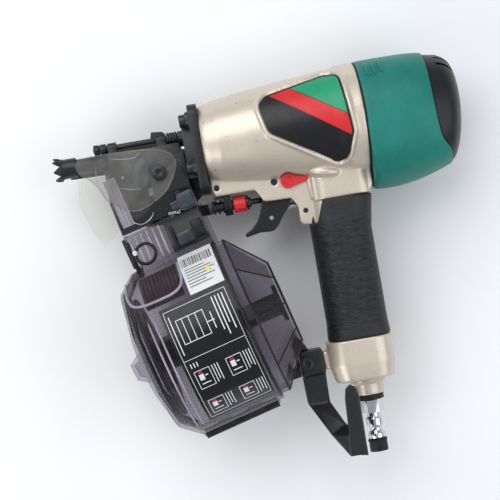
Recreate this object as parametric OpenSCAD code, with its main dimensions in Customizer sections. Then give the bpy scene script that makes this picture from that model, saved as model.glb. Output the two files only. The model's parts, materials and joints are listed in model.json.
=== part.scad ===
// Pneumatic coil nailer, lying on its right side. X runs from the muzzle to the
// rear cap along the drive axis, -Y runs down the handle, Z is the tool's left.

/* [Drive] */
// Radius of the driver bore in the nose
bore_r = 3.6; // [3.5:0.05:3.8]
// Radius of the driver blade
blade_r = 3.3; // [2.8:0.1:3.4]
// Inside radius of the cylinder liner
liner_r = 24.5; // [23:0.1:24.5]
// Travel of the contact tip
tip_travel = 7; // [4:0.5:7]

/* [Housing] */
// Radius of the collar at the back of the housing
collar_r = 39.2; // [39:0.1:40]
// Wall radius left for the air chamber
chamber_r = 32; // [30:0.5:32]
// Half width of the trigger cheeks
cheek_z = 11; // [10.5:0.1:11]

/* [Handle] */
// Width of the rubber grip, front to back
grip_w = 42; // [41:0.5:44]
// Thickness of the rubber grip, side to side
grip_d = 40; // [38:0.5:42]
// Length of the rubber grip
grip_len = 98; // [94:1:98]

/* [Magazine] */
// Outside radius of the coil drum
drum_r = 60; // [58:0.5:60]
// Wall of the clear magazine shells
shell_t = 2.4; // [2:0.1:2.6]
// Height of the drum's axis above the drive axis plane
drum_z = 19; // [18:0.5:19]

/* [Hidden] */
$fn = 64;
split_z = 4;                       // parting plane of the magazine shells
tilt = 14.5;                       // lean of the magazine axis
hinge_y = -61.6;                   // magazine hinge pin, in magazine axes
rod_y = 8.75;                      // door hinge rod
rod_z = 4;
arm_y = -44.5;                     // axis of the contact arm's push rod
cap_n = 6.74;                      // lean of the joint between cap and exhaust cover
cap_d = 258.2;

// ---------- helpers ----------
module rx(x0, x1, r, y = 0, z = 0) { translate([x0, y, z]) rotate([0, 90, 0]) cylinder(r = r, h = x1 - x0); }
module ry(y0, y1, r, x = 0, z = 0) { translate([x, y0, z]) rotate([-90, 0, 0]) cylinder(r = r, h = y1 - y0); }
module rz(z0, z1, r, x = 0, y = 0) { translate([x, y, z0]) cylinder(r = r, h = z1 - z0); }
module box(a, b) { translate(a) cube([b[0] - a[0], b[1] - a[1], b[2] - a[2]]); }
module slab(z0, z1, pts) { translate([0, 0, z0]) linear_extrude(z1 - z0) polygon(pts); }
// turned profile about the drive axis, points are [radius, x]
module turned(pts) { rotate([0, 90, 0]) rotate_extrude($fn = 96) polygon([for (p = pts) [p[0], p[1]]]); }
module ring_x(x, R, r, y = 0, z = 0) { translate([x, y, z]) rotate([0, 90, 0]) rotate_extrude($fn = 64) translate([R, 0]) circle(r = r, $fn = 16); }
module ring_y(y, R, r, x = 0, z = 0) { translate([x, y, z]) rotate([-90, 0, 0]) rotate_extrude($fn = 48) translate([R, 0]) circle(r = r, $fn = 16); }
module ring_z(z, R, r, x = 0, y = 0) { translate([x, y, z]) rotate_extrude($fn = 48) translate([R, 0]) circle(r = r, $fn = 16); }
module rr(w, h, r) {
  square([w - 2 * r, h], center = true);
  square([w, h - 2 * r], center = true);
  for (sx = [-1, 1], sy = [-1, 1]) translate([sx * (w / 2 - r), sy * (h / 2 - r)]) circle(r = r, $fn = 48);
}
// rounded bar running down the handle from y0
module down(y0, len, cx, w, d, r, cz = 0) { translate([cx, y0, cz]) rotate([90, 0, 0]) linear_extrude(len) rr(w, d, r); }
module mag() { translate([66, -132.6, 0]) rotate([0, 0, tilt]) children(); }
// socket head screw pointing along -X, head at the low x end
module socket_x(x0, y, z, r, hr, hh, len) {
  difference() { rx(x0, x0 + hh, hr, y, z); translate([x0 - 0.1, y, z]) rotate([0, 90, 0]) cylinder(r = hr * 0.55, h = hh * 0.6, $fn = 6); }
  rx(x0 + hh - 0.2, x0 + hh + len, r, y, z);
}

// ---------- housing ----------
housing_profile = [[0, 93.4], [25.6, 93.4], [26.8, 94.4], [27.8, 97], [29.8, 105], [32.5, 125], [35.4, 156], [38, 190.5], [38, 191.4], [collar_r, 192], [collar_r, 205], [0, 205]];
module main_housing() color([0.80, 0.75, 0.68]) difference() {
  union() {
    turned(housing_profile);
    // cheeks that carry the trigger
    slab(-cheek_z, cheek_z, [[94.2, -14], [94.2, -32], [97, -37.4], [124, -37.4], [129, -46.4], [148, -47], [151.4, -53], [152, -63], [155, -66], [158, -65.4], [161.6, -60], [166, -20]]);
    // root of the handle
    down(-18, 33.8, 183.3, 40.6, 37, 9);
    slab(-15.5, 15.5, [[163, -18], [163, -51.8], [201.5, -51.8], [204.6, -46], [204.6, -18]]);
    // pillar inside the grip
    down(-50, 100.2, 178.6, 36.4, 33, 11);
  }
  // space for the liner and the air around it
  turned([[0, 101], [26.55, 101], [26.55, 128], [29.2, 128.01], [chamber_r, 188], [chamber_r, 206], [0, 206]]);
  rx(90, 102, 4.2);
  // air passage up the handle
  ry(-151, -28, 11, 178.6);
  // pocket for the trigger, open below
  box([123, -70, -7], [151.5, -31, 7]);
  box([122, -41, -7], [124, -36, 7]);
  box([128, -32, -7], [143.2, -30.6, 7]);
  rx(151, 173, 7.0, -54.5, 0);
  rx(172, 176, 4.2, -54.5, 0);
  rz(-12, 12, 2.04, 137.8, -34);
  rz(6, 12, 2.55, 147.5, -34.9);
  // recess for the mode lever
  rz(11.02, 30, 5.8, 147.5, -34.9);
  slab(11.02, 30, [[147.5, -29.4], [153.2, -31.1], [162.4, -34], [162.4, -42], [141, -42], [141.8, -34.9]]);
  rz(-12, 12, 1.8, 97.9, -31.6);
  rz(-12, -6.9, 1.8, 156.1, -57.1);
  rz(6.9, 12, 1.8, 156.1, -57.1);
  for (a = [35, 145, 215, 325]) rotate([a, 0, 0]) rx(192.5, 206, 1.92, 35.3, 0);
  for (x = [165.6, 191.6], z = [-10.4, 10.4]) ry(-151, -140.6, 1.9, x, z);
  // nose screw holes
  for (y = [23.1, -15.4], z = [-15.5, 15.5]) rx(92, 100.9, 2.02, y > 0 ? 17.6 : -15.4, z);
}
module housing_gasket() color([0.1, 0.1, 0.1]) difference() {
  rx(205, 205.8, 38.8); rx(204, 207, 32.1);
  for (a = [35, 145, 215, 325]) rotate([a, 0, 0]) rx(204, 207, 2, 35.3, 0);
}
module housing_pins() color([0.55, 0.55, 0.56]) {
  rz(-11.2, 11.2, 1.78, 97.9, -31.6);
  rz(7.05, 11.2, 1.78, 156.1, -57.1);
  rz(-11.2, -7.05, 1.78, 156.1, -57.1);
}
module cylinder_cap() color([0.12, 0.53, 0.50]) difference() {
  intersection() {
    hull() {
      rx(205.8, 208, 39.6, $fn = 48);
      rx(207.5, 214, 38.6, -12.4, 0, $fn = 48);
      rx(246, 250, 38.6, -1.4, 0, $fn = 48);
      rx(262, 266, 36.8, -2.4, 0, $fn = 48);
    }
    rotate([0, 0, cap_n]) translate([cap_d - 200, -150, -100]) cube([200, 300, 200]);
  }
  rx(205, 236, 31);
  rx(235, 275, 9);
  for (a = [35, 145, 215, 325]) rotate([a, 0, 0]) { rx(204, 275, 2, 35.3, 0); rx(243, 275, 3.3, 35.3, 0); }
}
module exhaust_cover() color([0.07, 0.07, 0.075]) difference() {
  intersection() {
    hull() {
      rx(254, 257, 37.7, -1, 0, $fn = 48);
      rx(262, 266, 36.0, -2, 0, $fn = 48);
      rx(268, 271, 32.5, -1.2, 0, $fn = 48);
      rx(273, 274.8, 26, -0.8, 0, $fn = 48);
    }
    rotate([0, 0, cap_n]) translate([cap_d + 0.02, -150, -100]) cube([60, 300, 200]);
  }
  rotate([0, 0, cap_n]) rx(cap_d - 1, cap_d + 9, 29, -31, 0);
  // exhaust slots
  for (a = [-28, -14, 0, 14, 28]) rotate([a, 0, 0]) box([264, 22, -1.5], [271.5, 40, 1.5]);
}
module cap_screws() color([0.2, 0.2, 0.21]) for (a = [35, 145, 215, 325]) rotate([a, 0, 0]) difference() {
  union() { rx(193.5, 244, 1.88, 35.3, 0); rx(243.2, 247, 3.2, 35.3, 0); }
  translate([245, 35.3, 0]) rotate([0, 90, 0]) cylinder(r = 1.7, h = 3, $fn = 6);
}

// ---------- drive ----------
module cylinder_liner() color([0.75, 0.76, 0.78]) difference() {
  union() { rx(101.1, 214, 26.5); rx(168, 174, 30.7); }
  rx(100, 215, liner_r);
  ring_x(171, 30, 1.2);
  ring_x(212, 26.7, 1.1);
}
module liner_seals() color([0.08, 0.08, 0.08]) { ring_x(171, 30, 1.12); ring_x(212, 26.7, 1.05); }
module piston() color([0.72, 0.73, 0.75]) difference() {
  rx(200, 212, liner_r - 0.08);
  ring_x(206, liner_r - 1.2, 1.35);
  rx(199, 207, 3.32);
  difference() { rx(208, 213, 20); rx(207, 214, 8); }
}
module piston_ring() color([0.07, 0.07, 0.07]) ring_x(206, liner_r - 1.2, 1.15);
module driver_blade() color([0.62, 0.63, 0.65]) difference() {
  rx(72, 207, blade_r);
  box([71, -5, -5], [110, 5, -2.9]);
}
module piston_bumper() color([0.13, 0.12, 0.11]) difference() {
  union() { rx(101.1, 118, liner_r - 0.1); rx(117.9, 124, 19); }
  rx(100, 125, 4.2);
}
module head_valve() color([0.16, 0.16, 0.17]) difference() {
  union() { rx(214.3, 228, 30.9); rx(227, 229.5, 23); }
  rx(213, 231, 17);
  ring_x(221, 29.95, 1.1);
}
module head_valve_seal() color([0.06, 0.06, 0.06]) ring_x(221, 29.95, 1.0);
module coil_x(x0, x1, R, r, n, y = 0, z = 0) { for (i = [0:n - 1]) ring_x(x0 + r + (x1 - x0 - 2 * r) * i / (n - 1), R, r, y, z); }
module head_valve_spring() color([0.6, 0.6, 0.62]) coil_x(228.1, 235.9, 26.5, 0.6, 3);

// ---------- badge ----------
module badge_plate() color([0.08, 0.08, 0.09]) intersection() {
  translate([0, 0, 5]) linear_extrude(60) hull() {
    translate([141.4, 16.4]) circle(r = 5.6);
    translate([181.5, 26.4]) circle(r = 5);
    translate([187.4, 25.6]) circle(r = 5.4);
    translate([188.8, -9.6]) circle(r = 6.8);
    translate([183.4, -22.4]) circle(r = 6);
  }
  difference() {
    turned([for (p = housing_profile) [p[0] > 0 ? p[0] + 1.5 : 0, p[1]]]);
    turned([for (p = housing_profile) [p[0] > 0 ? p[0] + 0.05 : 0, p[1]]]);
  }
}

// ---------- nose ----------
module nose_body() color([0.09, 0.09, 0.10]) difference() {
  union() {
    rx(0, 24, 5.5);
    box([22, -6.5, -9], [87, 6, -0.25]);
    slab(-9, -2.6, [[22, 6], [87, 6], [87, -34], [82, -38.6], [27, -52.8], [22, -30]]);
    box([80.6, -22, -10.4], [87, 14, 10.4]);
    // hinge ears for the door
    for (x = [[22.5, 26.5], [77.3, 80.7]]) { rx(x[0], x[1], 3.7, rod_y, rod_z); box([x[0], 5, -9], [x[1], rod_y + 3.7, rod_z]); }
    // flange against the housing
    translate([87, -3, 0]) rotate([0, 90, 0]) rotate([0, 0, 90]) linear_extrude(6.4) rr(62.4, 44, 8);
    box([24, 6, -9], [80, 9.5, -5]);
  }
  rx(-1, 24.02, bore_r);
  rx(24, 95, bore_r + 0.5);
  for (x = [[22.5, 26.5], [77.3, 84]]) rx(x[0] - 0.1, x[1] + 0.1, 2.05, rod_y, rod_z);
  box([49.6, -60, -10], [54.4, -20, -2]);
  for (y = [17.6, -15.4], z = [-15.5, 15.5]) rx(86, 94, 2.1, y, z);
  for (x = [33, 45, 57]) rz(-10, -2, 1.6, x, -12);
}
module nose_screws() color([0.13, 0.13, 0.14]) for (y = [17.6, -15.4], z = [-15.5, 15.5]) socket_x(80.2, y, z, 1.98, 4.4, 6.75, 13);
module nail_guide_door() color([0.11, 0.11, 0.12]) difference() {
  union() {
    box([27, -6.5, 0.25], [77, 4.5, 7.6]);
    slab(2.6, 7, [[27, 4.5], [77, 4.5], [80, -4], [80, -23], [82.6, -38.2], [27.6, -52.4], [24.4, -30]]);
    slab(6.9, 9, [[60, -3], [79, -3], [80, -26], [62, -29]]);
    for (x = [[28, 34], [62, 68]]) { rx(x[0], x[1], 3.6, rod_y, rod_z); box([x[0], 3.5, rod_z - 3], [x[1], rod_y, rod_z + 3.6]); }
  }
  rx(20, 90, 4);
  for (x = [[28, 34], [62, 68]]) rx(x[0] - 0.1, x[1] + 0.1, 2.05, rod_y, rod_z);
  rz(2, 10, 2.05, 60.6, -14.5);
  // windows over the nails
  slab(2, 8, [[34, -12], [54, -12], [54, -34], [36, -38]]);
}
module door_hinge_rod() color([0.25, 0.25, 0.26]) rx(17.6, 84, 2, rod_y, rod_z);
module hinge_rod_nuts() color([0.12, 0.12, 0.13]) difference() {
  union() {
    translate([18.2, rod_y, rod_z]) rotate([0, 90, 0]) cylinder(r = 4.05, h = 3.7, $fn = 6);
    for (i = [0:3]) rx(69.4 + i * 1.9, 70.8 + i * 1.9, 3.9, rod_y, rod_z);
    rx(69.4, 76.9, 3.2, rod_y, rod_z);
  }
  rx(17, 80, 2.05, rod_y, rod_z);
}
module door_latch() color([0.16, 0.17, 0.20]) {
  translate([76.3, -36.2, 0]) rotate([0, 0, tilt]) { translate([0, 0, 7.2]) linear_extrude(6.6) rr(12.6, 12.6, 2.6); translate([0, 0, 13.6]) linear_extrude(1.4) rr(9.4, 9.4, 2); translate([-12, -3, 7.2]) cube([7, 6, 3.4]); }
}
module clear_nose_cover() color([0.85, 0.84, 0.74, 0.35]) difference() {
  union() {
    slab(10.4, 12, [[5, 3.4], [9, -7], [13.3, -11.8], [19.4, -21.3], [30, -33], [37.7, -38.4], [46, -37.6], [61.2, -29.2], [66, -24], [73.8, -9.8], [72, -3], [51.9, 3.4]]);
    rz(9.02, 10.5, 4.4, 60.6, -14.5);
  }
  rz(8, 13, 2.1, 60.6, -14.5);
}
module cover_screw() color([0.3, 0.3, 0.31]) difference() {
  union() { rz(3, 12.2, 1.98, 60.6, -14.5); rz(12.02, 13, 5.3, 60.6, -14.5); rz(13, 16, 3.9, 60.6, -14.5); }
  translate([60.6, -14.5, 14]) cylinder(r = 2.1, h = 3, $fn = 6);
}
module clear_nail_guard() color([0.9, 0.9, 0.9, 0.25]) difference() {
  slab(-2.5, -1.3, [[2.6, -9.6], [0.8, -26.2], [6.8, -45], [13.6, -59], [25.7, -48.5], [26.2, -9.6]]);
  rz(-3, 0, 0.9, 5.4, -16.6);
  rz(-3, 0, 0.9, 7.6, -25.5);
}
module contact_tip() color([0.2, 0.2, 0.21]) difference() {
  union() {
    rx(-8, 4, 6.9);
    turned([[4.4, -12], [7.6, -12], [8.6, -10.6], [8.2, -8], [6.9, -5.5], [4.4, -5.5]]);
    box([-3, -6.2, -10.98], [4, -1.8, -5.8]);
  }
  rx(-7.6, 5, 5.58);
  rx(-13, -7, 4.35);
  box([-13, -3.4, -10], [-8.4, 3.4, 10]);
  for (a = [62, 118, 242, 298]) rotate([a, 0, 0]) box([-13, 3, -0.8], [-9.8, 10, 0.8]);
  rz(-12, -5.4, 1.3, 0.5, -4);
}
module contact_arm() color([0.15, 0.15, 0.16]) difference() {
  union() {
    slab(-13, -11, [[-3, -1.8], [71.8, -1.8], [71.8, -40.6], [93, -40.6], [93, -48.4], [64.8, -48.4], [64.8, -9], [-3, -7.2]]);
    box([90, -48.4, -13], [93, -40.6, 4.4]);
    rx(92.9, 120, 3.5, arm_y);
    rx(116.6, 118.2, 5.2, arm_y);
    rx(119.9, 129.6, 2, arm_y);
  }
  rz(-14, -10, 1.3, 0.5, -4);
}
module arm_guide() color([0.10, 0.10, 0.11]) difference() {
  union() { box([101, -46, -7], [106.4, -37.4, 7]); rx(101, 106.4, 7, arm_y); box([94.6, -39, -7], [106.4, -37.42, 7]); }
  rx(100, 108, 3.56, arm_y);
  rx(100, 104.9, 5.4, arm_y);
}
module arm_spring() color([0.5, 0.5, 0.52]) coil_x(93.1, 104.8, 4.5, 0.55, 4, arm_y, 0);
module depth_adjuster() color([0.86, 0.16, 0.16]) difference() {
  union() {
    rx(107.4, 116.3, 5.5, arm_y);
    for (a = [0:15:345]) translate([0, arm_y, 0]) rotate([a, 0, 0]) box([108, 5.2, -0.4], [115.8, 6, 0.4]);
  }
  rx(107, 117, 3.55, arm_y);
}

// ---------- trigger ----------
module trigger() color([0.08, 0.08, 0.09]) difference() {
  slab(-6.3, 6.3, [[133, -32.4], [135.4, -31.3], [139.6, -31.3], [142.2, -32.6], [146.4, -40], [147, -48], [145.6, -52], [140.6, -57.6], [136, -64], [133, -66.8], [129.6, -67.4],
    [123, -66.8], [112.6, -68.6], [111.9, -66.6], [117.4, -63.4], [121.6, -59], [124.6, -54], [126.3, -49], [127.4, -44], [129, -38]]);
  slab(-4.1, 4.1, [[120, -28], [155, -28], [155, -60], [137, -63], [133.6, -64.4], [124, -64], [119.6, -65], [124.4, -60.4], [127.6, -54.4], [129.2, -48.6], [120, -48.6]]);
  rz(-7, 7, 2.08, 137.8, -34);
  rz(-7, 7, 1.5, 132, -58.1);
}
module trigger_pin() color([0.55, 0.55, 0.57]) { rz(-11.4, 11.4, 2, 137.8, -34); }
module trigger_spring() color([0.6, 0.6, 0.62]) for (i = [-3:3]) ring_z(i * 1.1, 2.75, 0.44, 137.8, -34);
module trigger_lever() color([0.35, 0.35, 0.36]) difference() {
  union() { slab(-2.2, 2.2, [[130, -60.4], [134.2, -60.4], [137.4, -52], [139, -43.4], [135.4, -41.8], [133.8, -43.4], [133.6, -50]]); rz(-3.9, 3.9, 2.6, 132, -58.1); rz(-6.2, 6.2, 1.44, 132, -58.1); }
}
module trigger_valve_body() color([0.6, 0.52, 0.3]) difference() {
  union() { rx(151.6, 170, 6.9, -54.5); rx(170, 172, 4.1, -54.5); }
  translate([0, 2.5, 0]) rx(150, 167, 2.05, -54.5);
  rx(164, 173, 1.6, -54.5);
}
module trigger_valve_plunger() color([0.65, 0.65, 0.67]) rx(141.4, 160, 1.98, -52);
module mode_lever() color([0.88, 0.18, 0.18]) difference() {
  union() {
    rz(7.1, 11.3, 2.5, 147.5, -34.9);
    rz(11.2, 13.6, 5.2, 147.5, -34.9);
    slab(11.2, 13.2, [[147.5, -30], [153, -31.8], [161.4, -34.6], [161.6, -36.6], [153.4, -38.6], [147.5, -40]]);
  }
  rz(12.6, 14, 3, 147.5, -34.9);
}

// ---------- feeder ----------
module feeder_cylinder() color([0.12, 0.12, 0.13]) difference() {
  union() { ry(-46, -14, 9.5, 52, -25); box([42, -19.6, -24], [62, -11.6, -9.02]); }
  ry(-47, -17, 7, 52, -25);
  box([49.7, -47, -25], [54.3, -20, -8]);
}
module feeder_piston() color([0.6, 0.6, 0.62]) { ry(-30, -22, 6.93, 52, -25); box([50.1, -28, -24], [53.9, -23, -4.6]); box([50.1, -25.4, -4.7], [53.9, -22.6, -2.8]); }
module feeder_spring() color([0.6, 0.6, 0.62]) for (i = [0:3]) ring_y(-45.26 + i * 4.91, 4.8, 0.5, 52, -25);
module feeder_cap() color([0.2, 0.2, 0.21]) union() { ry(-49, -46.02, 9.5, 52, -25); ry(-46.1, -45.8, 6.9, 52, -25); }

// ---------- magazine ----------
module shell_form(o) {
  hull() {
    rx(-21 + o * 0.3, 40 - o, drum_r - o, 0, drum_z, $fn = 72);
    rx(-33 + o, 0, 50 - o, 0, drum_z, $fn = 48);
    rx(-38.6 + o, 0, 25 - o * 0.5, -2, drum_z, $fn = 48);
  }
  hull() {
    rx(-18 + o * 0.6, 40 - o, 34 - o, 18, drum_z, $fn = 48);
    box([-17 + o, 60, -10.5 + o], [42 - o, 62, 15 - o]);
  }
  hull() {
    box([-17 + o, 50, -10.5 + o], [42 - o, 66, 15 - o]);
    box([-17 + o, 80, -10.5 + o], [42 - o, 85.4 + (o > 0 ? 4 : 0), 10.5 - o]);
  }
}
// faceted rear bowl of the magazine, shrunk by o
module rear_form(o) {
  rx(39.9 - o * 1.2, 46.01, 58 - o, 0, drum_z, $fn = 10);
  translate([46, 0, drum_z]) rotate([0, 90, 0]) cylinder(r1 = 58 - o, r2 = 30 - o * 0.6, h = 21.4 - o, $fn = 10);
}
module magazine_body() color([0.35, 0.33, 0.37, 0.5]) mag() difference() {
  union() {
    intersection() { shell_form(0); box([-60, -90, -50], [60, 90, split_z - 0.2]); }
    rear_form(0);
    slab(-14, 2, [[-36.5, 11], [-49.7, 2], [-49.3, -9.4], [-37, -18]]);
  }
  shell_form(shell_t);
  rear_form(shell_t);
  slab(-11.6, -0.4, [[-35, 7.5], [-47.4, 0.8], [-47, -8], [-35, -15]]);
}
module magazine_cover() color([0.30, 0.28, 0.33, 0.5]) mag() difference() {
  intersection() { shell_form(0); box([-60, -90, split_z + 0.1], [39.6, 90, 100]); }
  shell_form(shell_t);
  rx(30, 50, 50, 0, drum_z);
  // room for the door latch
  box([27.2, 84.1, 6.8], [50, 90, 20]);
}
module hinge_leaf_body() color([0.07, 0.07, 0.08]) mag() difference() {
  union() {
    for (x = [-20.8, 1.4, 23.6]) rx(x, x + 10.9, 3.4, hinge_y - 1.4, split_z);
    for (x = [-20.8, 1.4, 23.6]) box([x, hinge_y - 3, 0], [x + 10.9, hinge_y + 1.6, 2]);
  }
  rx(-30, 50, 1.55, hinge_y - 1.4, split_z);
  shell_form(0);
}
module hinge_leaf_cover() color([0.07, 0.07, 0.08]) mag() difference() {
  union() {
    for (x = [-9.7, 12.5]) rx(x, x + 10.9, 3.4, hinge_y - 1.4, split_z);
    for (x = [-9.7, 12.5]) box([x, hinge_y - 1, split_z], [x + 10.9, hinge_y + 3.8, 13]);
  }
  rx(-30, 50, 1.55, hinge_y - 1.4, split_z);
  shell_form(-0.02);
}
module magazine_hinge_pin() color([0.5, 0.5, 0.52]) mag() rx(-22, 35.6, 1.5, hinge_y - 1.4, split_z);
module magazine_seal() color([0.06, 0.06, 0.07]) mag() box([-19.6, 62.2, -6], [-17.02, 84, 3.6]);
module nail_tray() color([0.12, 0.12, 0.13]) mag() difference() {
  union() { rx(-28, -25.4, 43, 0, drum_z); rx(-25.6, -14, 11.5, 0, drum_z); }
  rx(-29, -10, 8.06, 0, drum_z);
  for (a = [0:45:315]) translate([0, 0, drum_z]) rotate([a, 0, 0]) rx(-29, -24, 5.5, 27, 0);
}
module nail_post() color([0.20, 0.20, 0.21]) mag() difference() { union() { rx(-30, 64.98, 8, 0, drum_z); rx(62, 64.98, 13, 0, drum_z); } rx(-31, 50, 4, 0, drum_z); }
module instruction_panel() color([0.10, 0.10, 0.11]) mag() intersection() {
  difference() { rx(-10.5, 36.5, drum_r + 0.45, 0, drum_z); rx(-40, 50, drum_r + 0.04, 0, drum_z); }
  box([-10.5, -50, drum_z], [36.5, 29.5, 90]);
}
module sticker() color([0.9, 0.9, 0.88]) mag() intersection() {
  difference() { rx(12.8, 36.8, drum_r + 0.45, 0, drum_z); rx(0, 50, drum_r + 0.04, 0, drum_z); }
  box([12.8, 30.5, drum_z], [36.8, 56.5, 90]);
}
module magazine_bracket() color([0.09, 0.09, 0.10]) difference() {
  slab(-5, 5, [[127.6, -141], [131, -140], [138, -146], [141.5, -152.6], [141.5, -153.1], [134.2, -153.1], [134, -171], [124, -172.4], [121.5, -166]]);
  mag() rear_form(-0.02);
  slab(-6, 6, [[127.4, -152], [131, -150], [132, -164], [128, -165]]);
}

// ---------- handle ----------
module bracket_bolt() color([0.45, 0.45, 0.47]) difference() {
  union() { rz(9.02, 13, 4.6, 138.6, -162); rz(-9, 9.1, 2, 138.6, -162); }
  translate([138.6, -162, 11]) cylinder(r = 2.4, h = 3, $fn = 6);
}
module belt_hook() color([0.07, 0.07, 0.08]) difference() {
  union() {
    slab(-9, 9, [[134.6, -153.2], [150.6, -153.2], [151.4, -170], [134.4, -171.4]]);
    hull() { slab(-4, 5, [[134.4, -168], [151, -168], [149.9, -190], [135, -190]]); slab(-2, 6, [[136, -192], [150.4, -192], [150.4, -193], [136.6, -193]]); }
    hull() { slab(-2, 6, [[136, -191], [150.4, -191], [150.4, -193], [136.6, -193]]); slab(14, 22, [[147, -212], [158, -206], [160, -210], [150, -216]]); }
    hull() { slab(14, 22, [[147, -212], [158, -206], [160, -210], [150, -216]]); slab(26, 32, [[157, -227], [169, -227], [169, -215], [158, -212]]); }
    slab(26, 32, [[157.6, -226], [168.8, -228], [169.6, -188], [168.4, -181.6], [164.6, -178.6], [161, -181.4], [159.6, -188]]);
  }
  rz(-10, 10, 2.05, 138.6, -162);
}
module grip_sleeve() color([0.06, 0.06, 0.065]) difference() {
  union() {
    down(-52.2, grip_len, 178.6, grip_w, grip_d, 15);
    hull() { down(-52.2, 2, 180.6, grip_w + 3.2, grip_d + 1, 16); down(-74, 1, 178.7, grip_w, grip_d, 15); }
    hull() { down(-149, 1.2, 178.4, grip_w + 1.6, grip_d + 1.4, 15); down(-138, 1, 178.6, grip_w, grip_d, 15); }
  }
  down(-45, 112, 178.6, 36.5, 33.1, 11);
  slab(-12, 12, [[140, -40], [162, -40], [162, -60.2], [158, -66], [140, -68]]);
  rx(150, 165, 7.0, -54.5, 0);
}
module handle_end_cap() color([0.80, 0.75, 0.68]) difference() {
  union() {
    down(-150.3, 16, 177.2, 45, 41.6, 13);
    hull() { down(-166, 1, 177.2, 45, 41.6, 13); down(-178.2, 1, 177.6, 41, 37, 12); }
    ry(-182, -178, 13, 179); ry(-190.8, -178, 10.4, 179);
    box([146, -168.4, -7.4], [160, -156, 7.4]);
  }
  ry(-192, -150, 6.6, 179);
  slab(-9.1, 9.1, [[134.6, -153.1], [150.75, -153.1], [151.55, -170.1], [134.4, -171.5]]);
  for (x = [165.6, 191.6], z = [-10.4, 10.4]) ry(-180, -171, 3.4, x, z);
  for (x = [165.6, 191.6], z = [-10.4, 10.4]) ry(-172, -149, 1.9, x, z);
}
module end_cap_screws() color([0.4, 0.4, 0.42]) for (x = [165.6, 191.6], z = [-10.4, 10.4]) difference() {
  union() { ry(-175, -171.02, 3.3, x, z); ry(-171.1, -141, 1.85, x, z); }
  translate([x, -176, z]) rotate([-90, 0, 0]) cylinder(r = 1.7, h = 3, $fn = 6);
}
module inlet_washer() color([0.06, 0.06, 0.06]) difference() { ry(-194.6, -190.82, 9.4, 179); ry(-196, -190, 6.7, 179); }
module air_plug() color([0.78, 0.78, 0.80]) difference() {
  union() {
    ry(-196, -164, 6.52, 179);
    translate([179, -203.6, 0]) rotate([-90, 0, 0]) cylinder(r = 8, h = 9, $fn = 6);
    translate([179, -228, 0]) rotate([-90, 0, 0]) rotate_extrude() polygon([[0, 0], [4.6, 0], [4.9, 0.4], [4.9, 5.9], [6, 6.4], [6, 9.4], [4.4, 11.6], [4.4, 13.4], [6, 15.4], [6, 20], [4.8, 21.6], [4.8, 25], [0, 25]]);
  }
  ry(-230, -160, 3.4, 179);
}
module plug_dust_cap() color([0.05, 0.05, 0.05]) difference() {
  union() { ry(-231, -222.2, 6.4, 179); ring_y(-223.4, 6.2, 0.7, 179, 0); }
  ry(-228.3, -221, 4.98, 179);
}

main_housing();
housing_gasket();
housing_pins();
cylinder_cap();
exhaust_cover();
cap_screws();
cylinder_liner();
liner_seals();
piston();
piston_ring();
driver_blade();
piston_bumper();
head_valve();
head_valve_seal();
head_valve_spring();
badge_plate();
nose_body();
nose_screws();
nail_guide_door();
door_hinge_rod();
hinge_rod_nuts();
door_latch();
clear_nose_cover();
cover_screw();
clear_nail_guard();
contact_tip();
contact_arm();
arm_guide();
arm_spring();
depth_adjuster();
trigger();
trigger_pin();
trigger_spring();
trigger_lever();
trigger_valve_body();
trigger_valve_plunger();
mode_lever();
feeder_cylinder();
feeder_piston();
feeder_spring();
feeder_cap();
magazine_body();
magazine_cover();
hinge_leaf_body();
hinge_leaf_cover();
magazine_hinge_pin();
magazine_seal();
nail_tray();
nail_post();
instruction_panel();
sticker();
magazine_bracket();
bracket_bolt();
belt_hook();
grip_sleeve();
handle_end_cap();
end_cap_screws();
inlet_washer();
air_plug();
plug_dust_cap();
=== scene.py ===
import bpy, bmesh, math, random
import numpy as np
from mathutils import Vector, Matrix, noise
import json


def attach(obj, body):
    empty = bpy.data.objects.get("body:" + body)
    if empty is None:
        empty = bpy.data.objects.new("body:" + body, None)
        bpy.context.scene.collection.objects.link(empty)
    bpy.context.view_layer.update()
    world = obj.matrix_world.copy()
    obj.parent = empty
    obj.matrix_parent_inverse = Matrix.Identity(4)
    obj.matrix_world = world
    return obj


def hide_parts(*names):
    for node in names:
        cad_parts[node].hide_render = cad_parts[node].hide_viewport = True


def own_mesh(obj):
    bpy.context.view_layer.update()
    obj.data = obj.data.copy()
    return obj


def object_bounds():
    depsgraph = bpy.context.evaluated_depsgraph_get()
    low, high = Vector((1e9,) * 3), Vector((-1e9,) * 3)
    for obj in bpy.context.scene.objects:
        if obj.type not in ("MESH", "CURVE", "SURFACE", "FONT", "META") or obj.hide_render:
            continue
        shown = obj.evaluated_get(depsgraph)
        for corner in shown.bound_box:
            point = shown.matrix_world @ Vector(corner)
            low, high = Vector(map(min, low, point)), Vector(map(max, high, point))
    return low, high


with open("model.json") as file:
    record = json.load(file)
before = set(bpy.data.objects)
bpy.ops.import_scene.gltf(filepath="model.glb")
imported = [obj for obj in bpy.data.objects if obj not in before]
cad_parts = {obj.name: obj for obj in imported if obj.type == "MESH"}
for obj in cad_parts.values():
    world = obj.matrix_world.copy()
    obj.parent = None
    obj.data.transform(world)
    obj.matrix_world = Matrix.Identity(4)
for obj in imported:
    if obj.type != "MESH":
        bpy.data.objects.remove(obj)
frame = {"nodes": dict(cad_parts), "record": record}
CAD_BOX = [[float(c) for c in corner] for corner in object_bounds()]
N = frame["nodes"]
BODY = {n: b for b, ns in frame["record"]["behaviour"]["bodies"].items() for n in ns}
SLOT = {s["node"]: s["material_slot"] for s in frame["record"]["subparts"]}
S = 0.001
random.seed(7)
scene = bpy.context.scene
scene.view_settings.view_transform = "Standard"
scene.view_settings.look = "None"
scene.view_settings.exposure = 0.0

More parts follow.
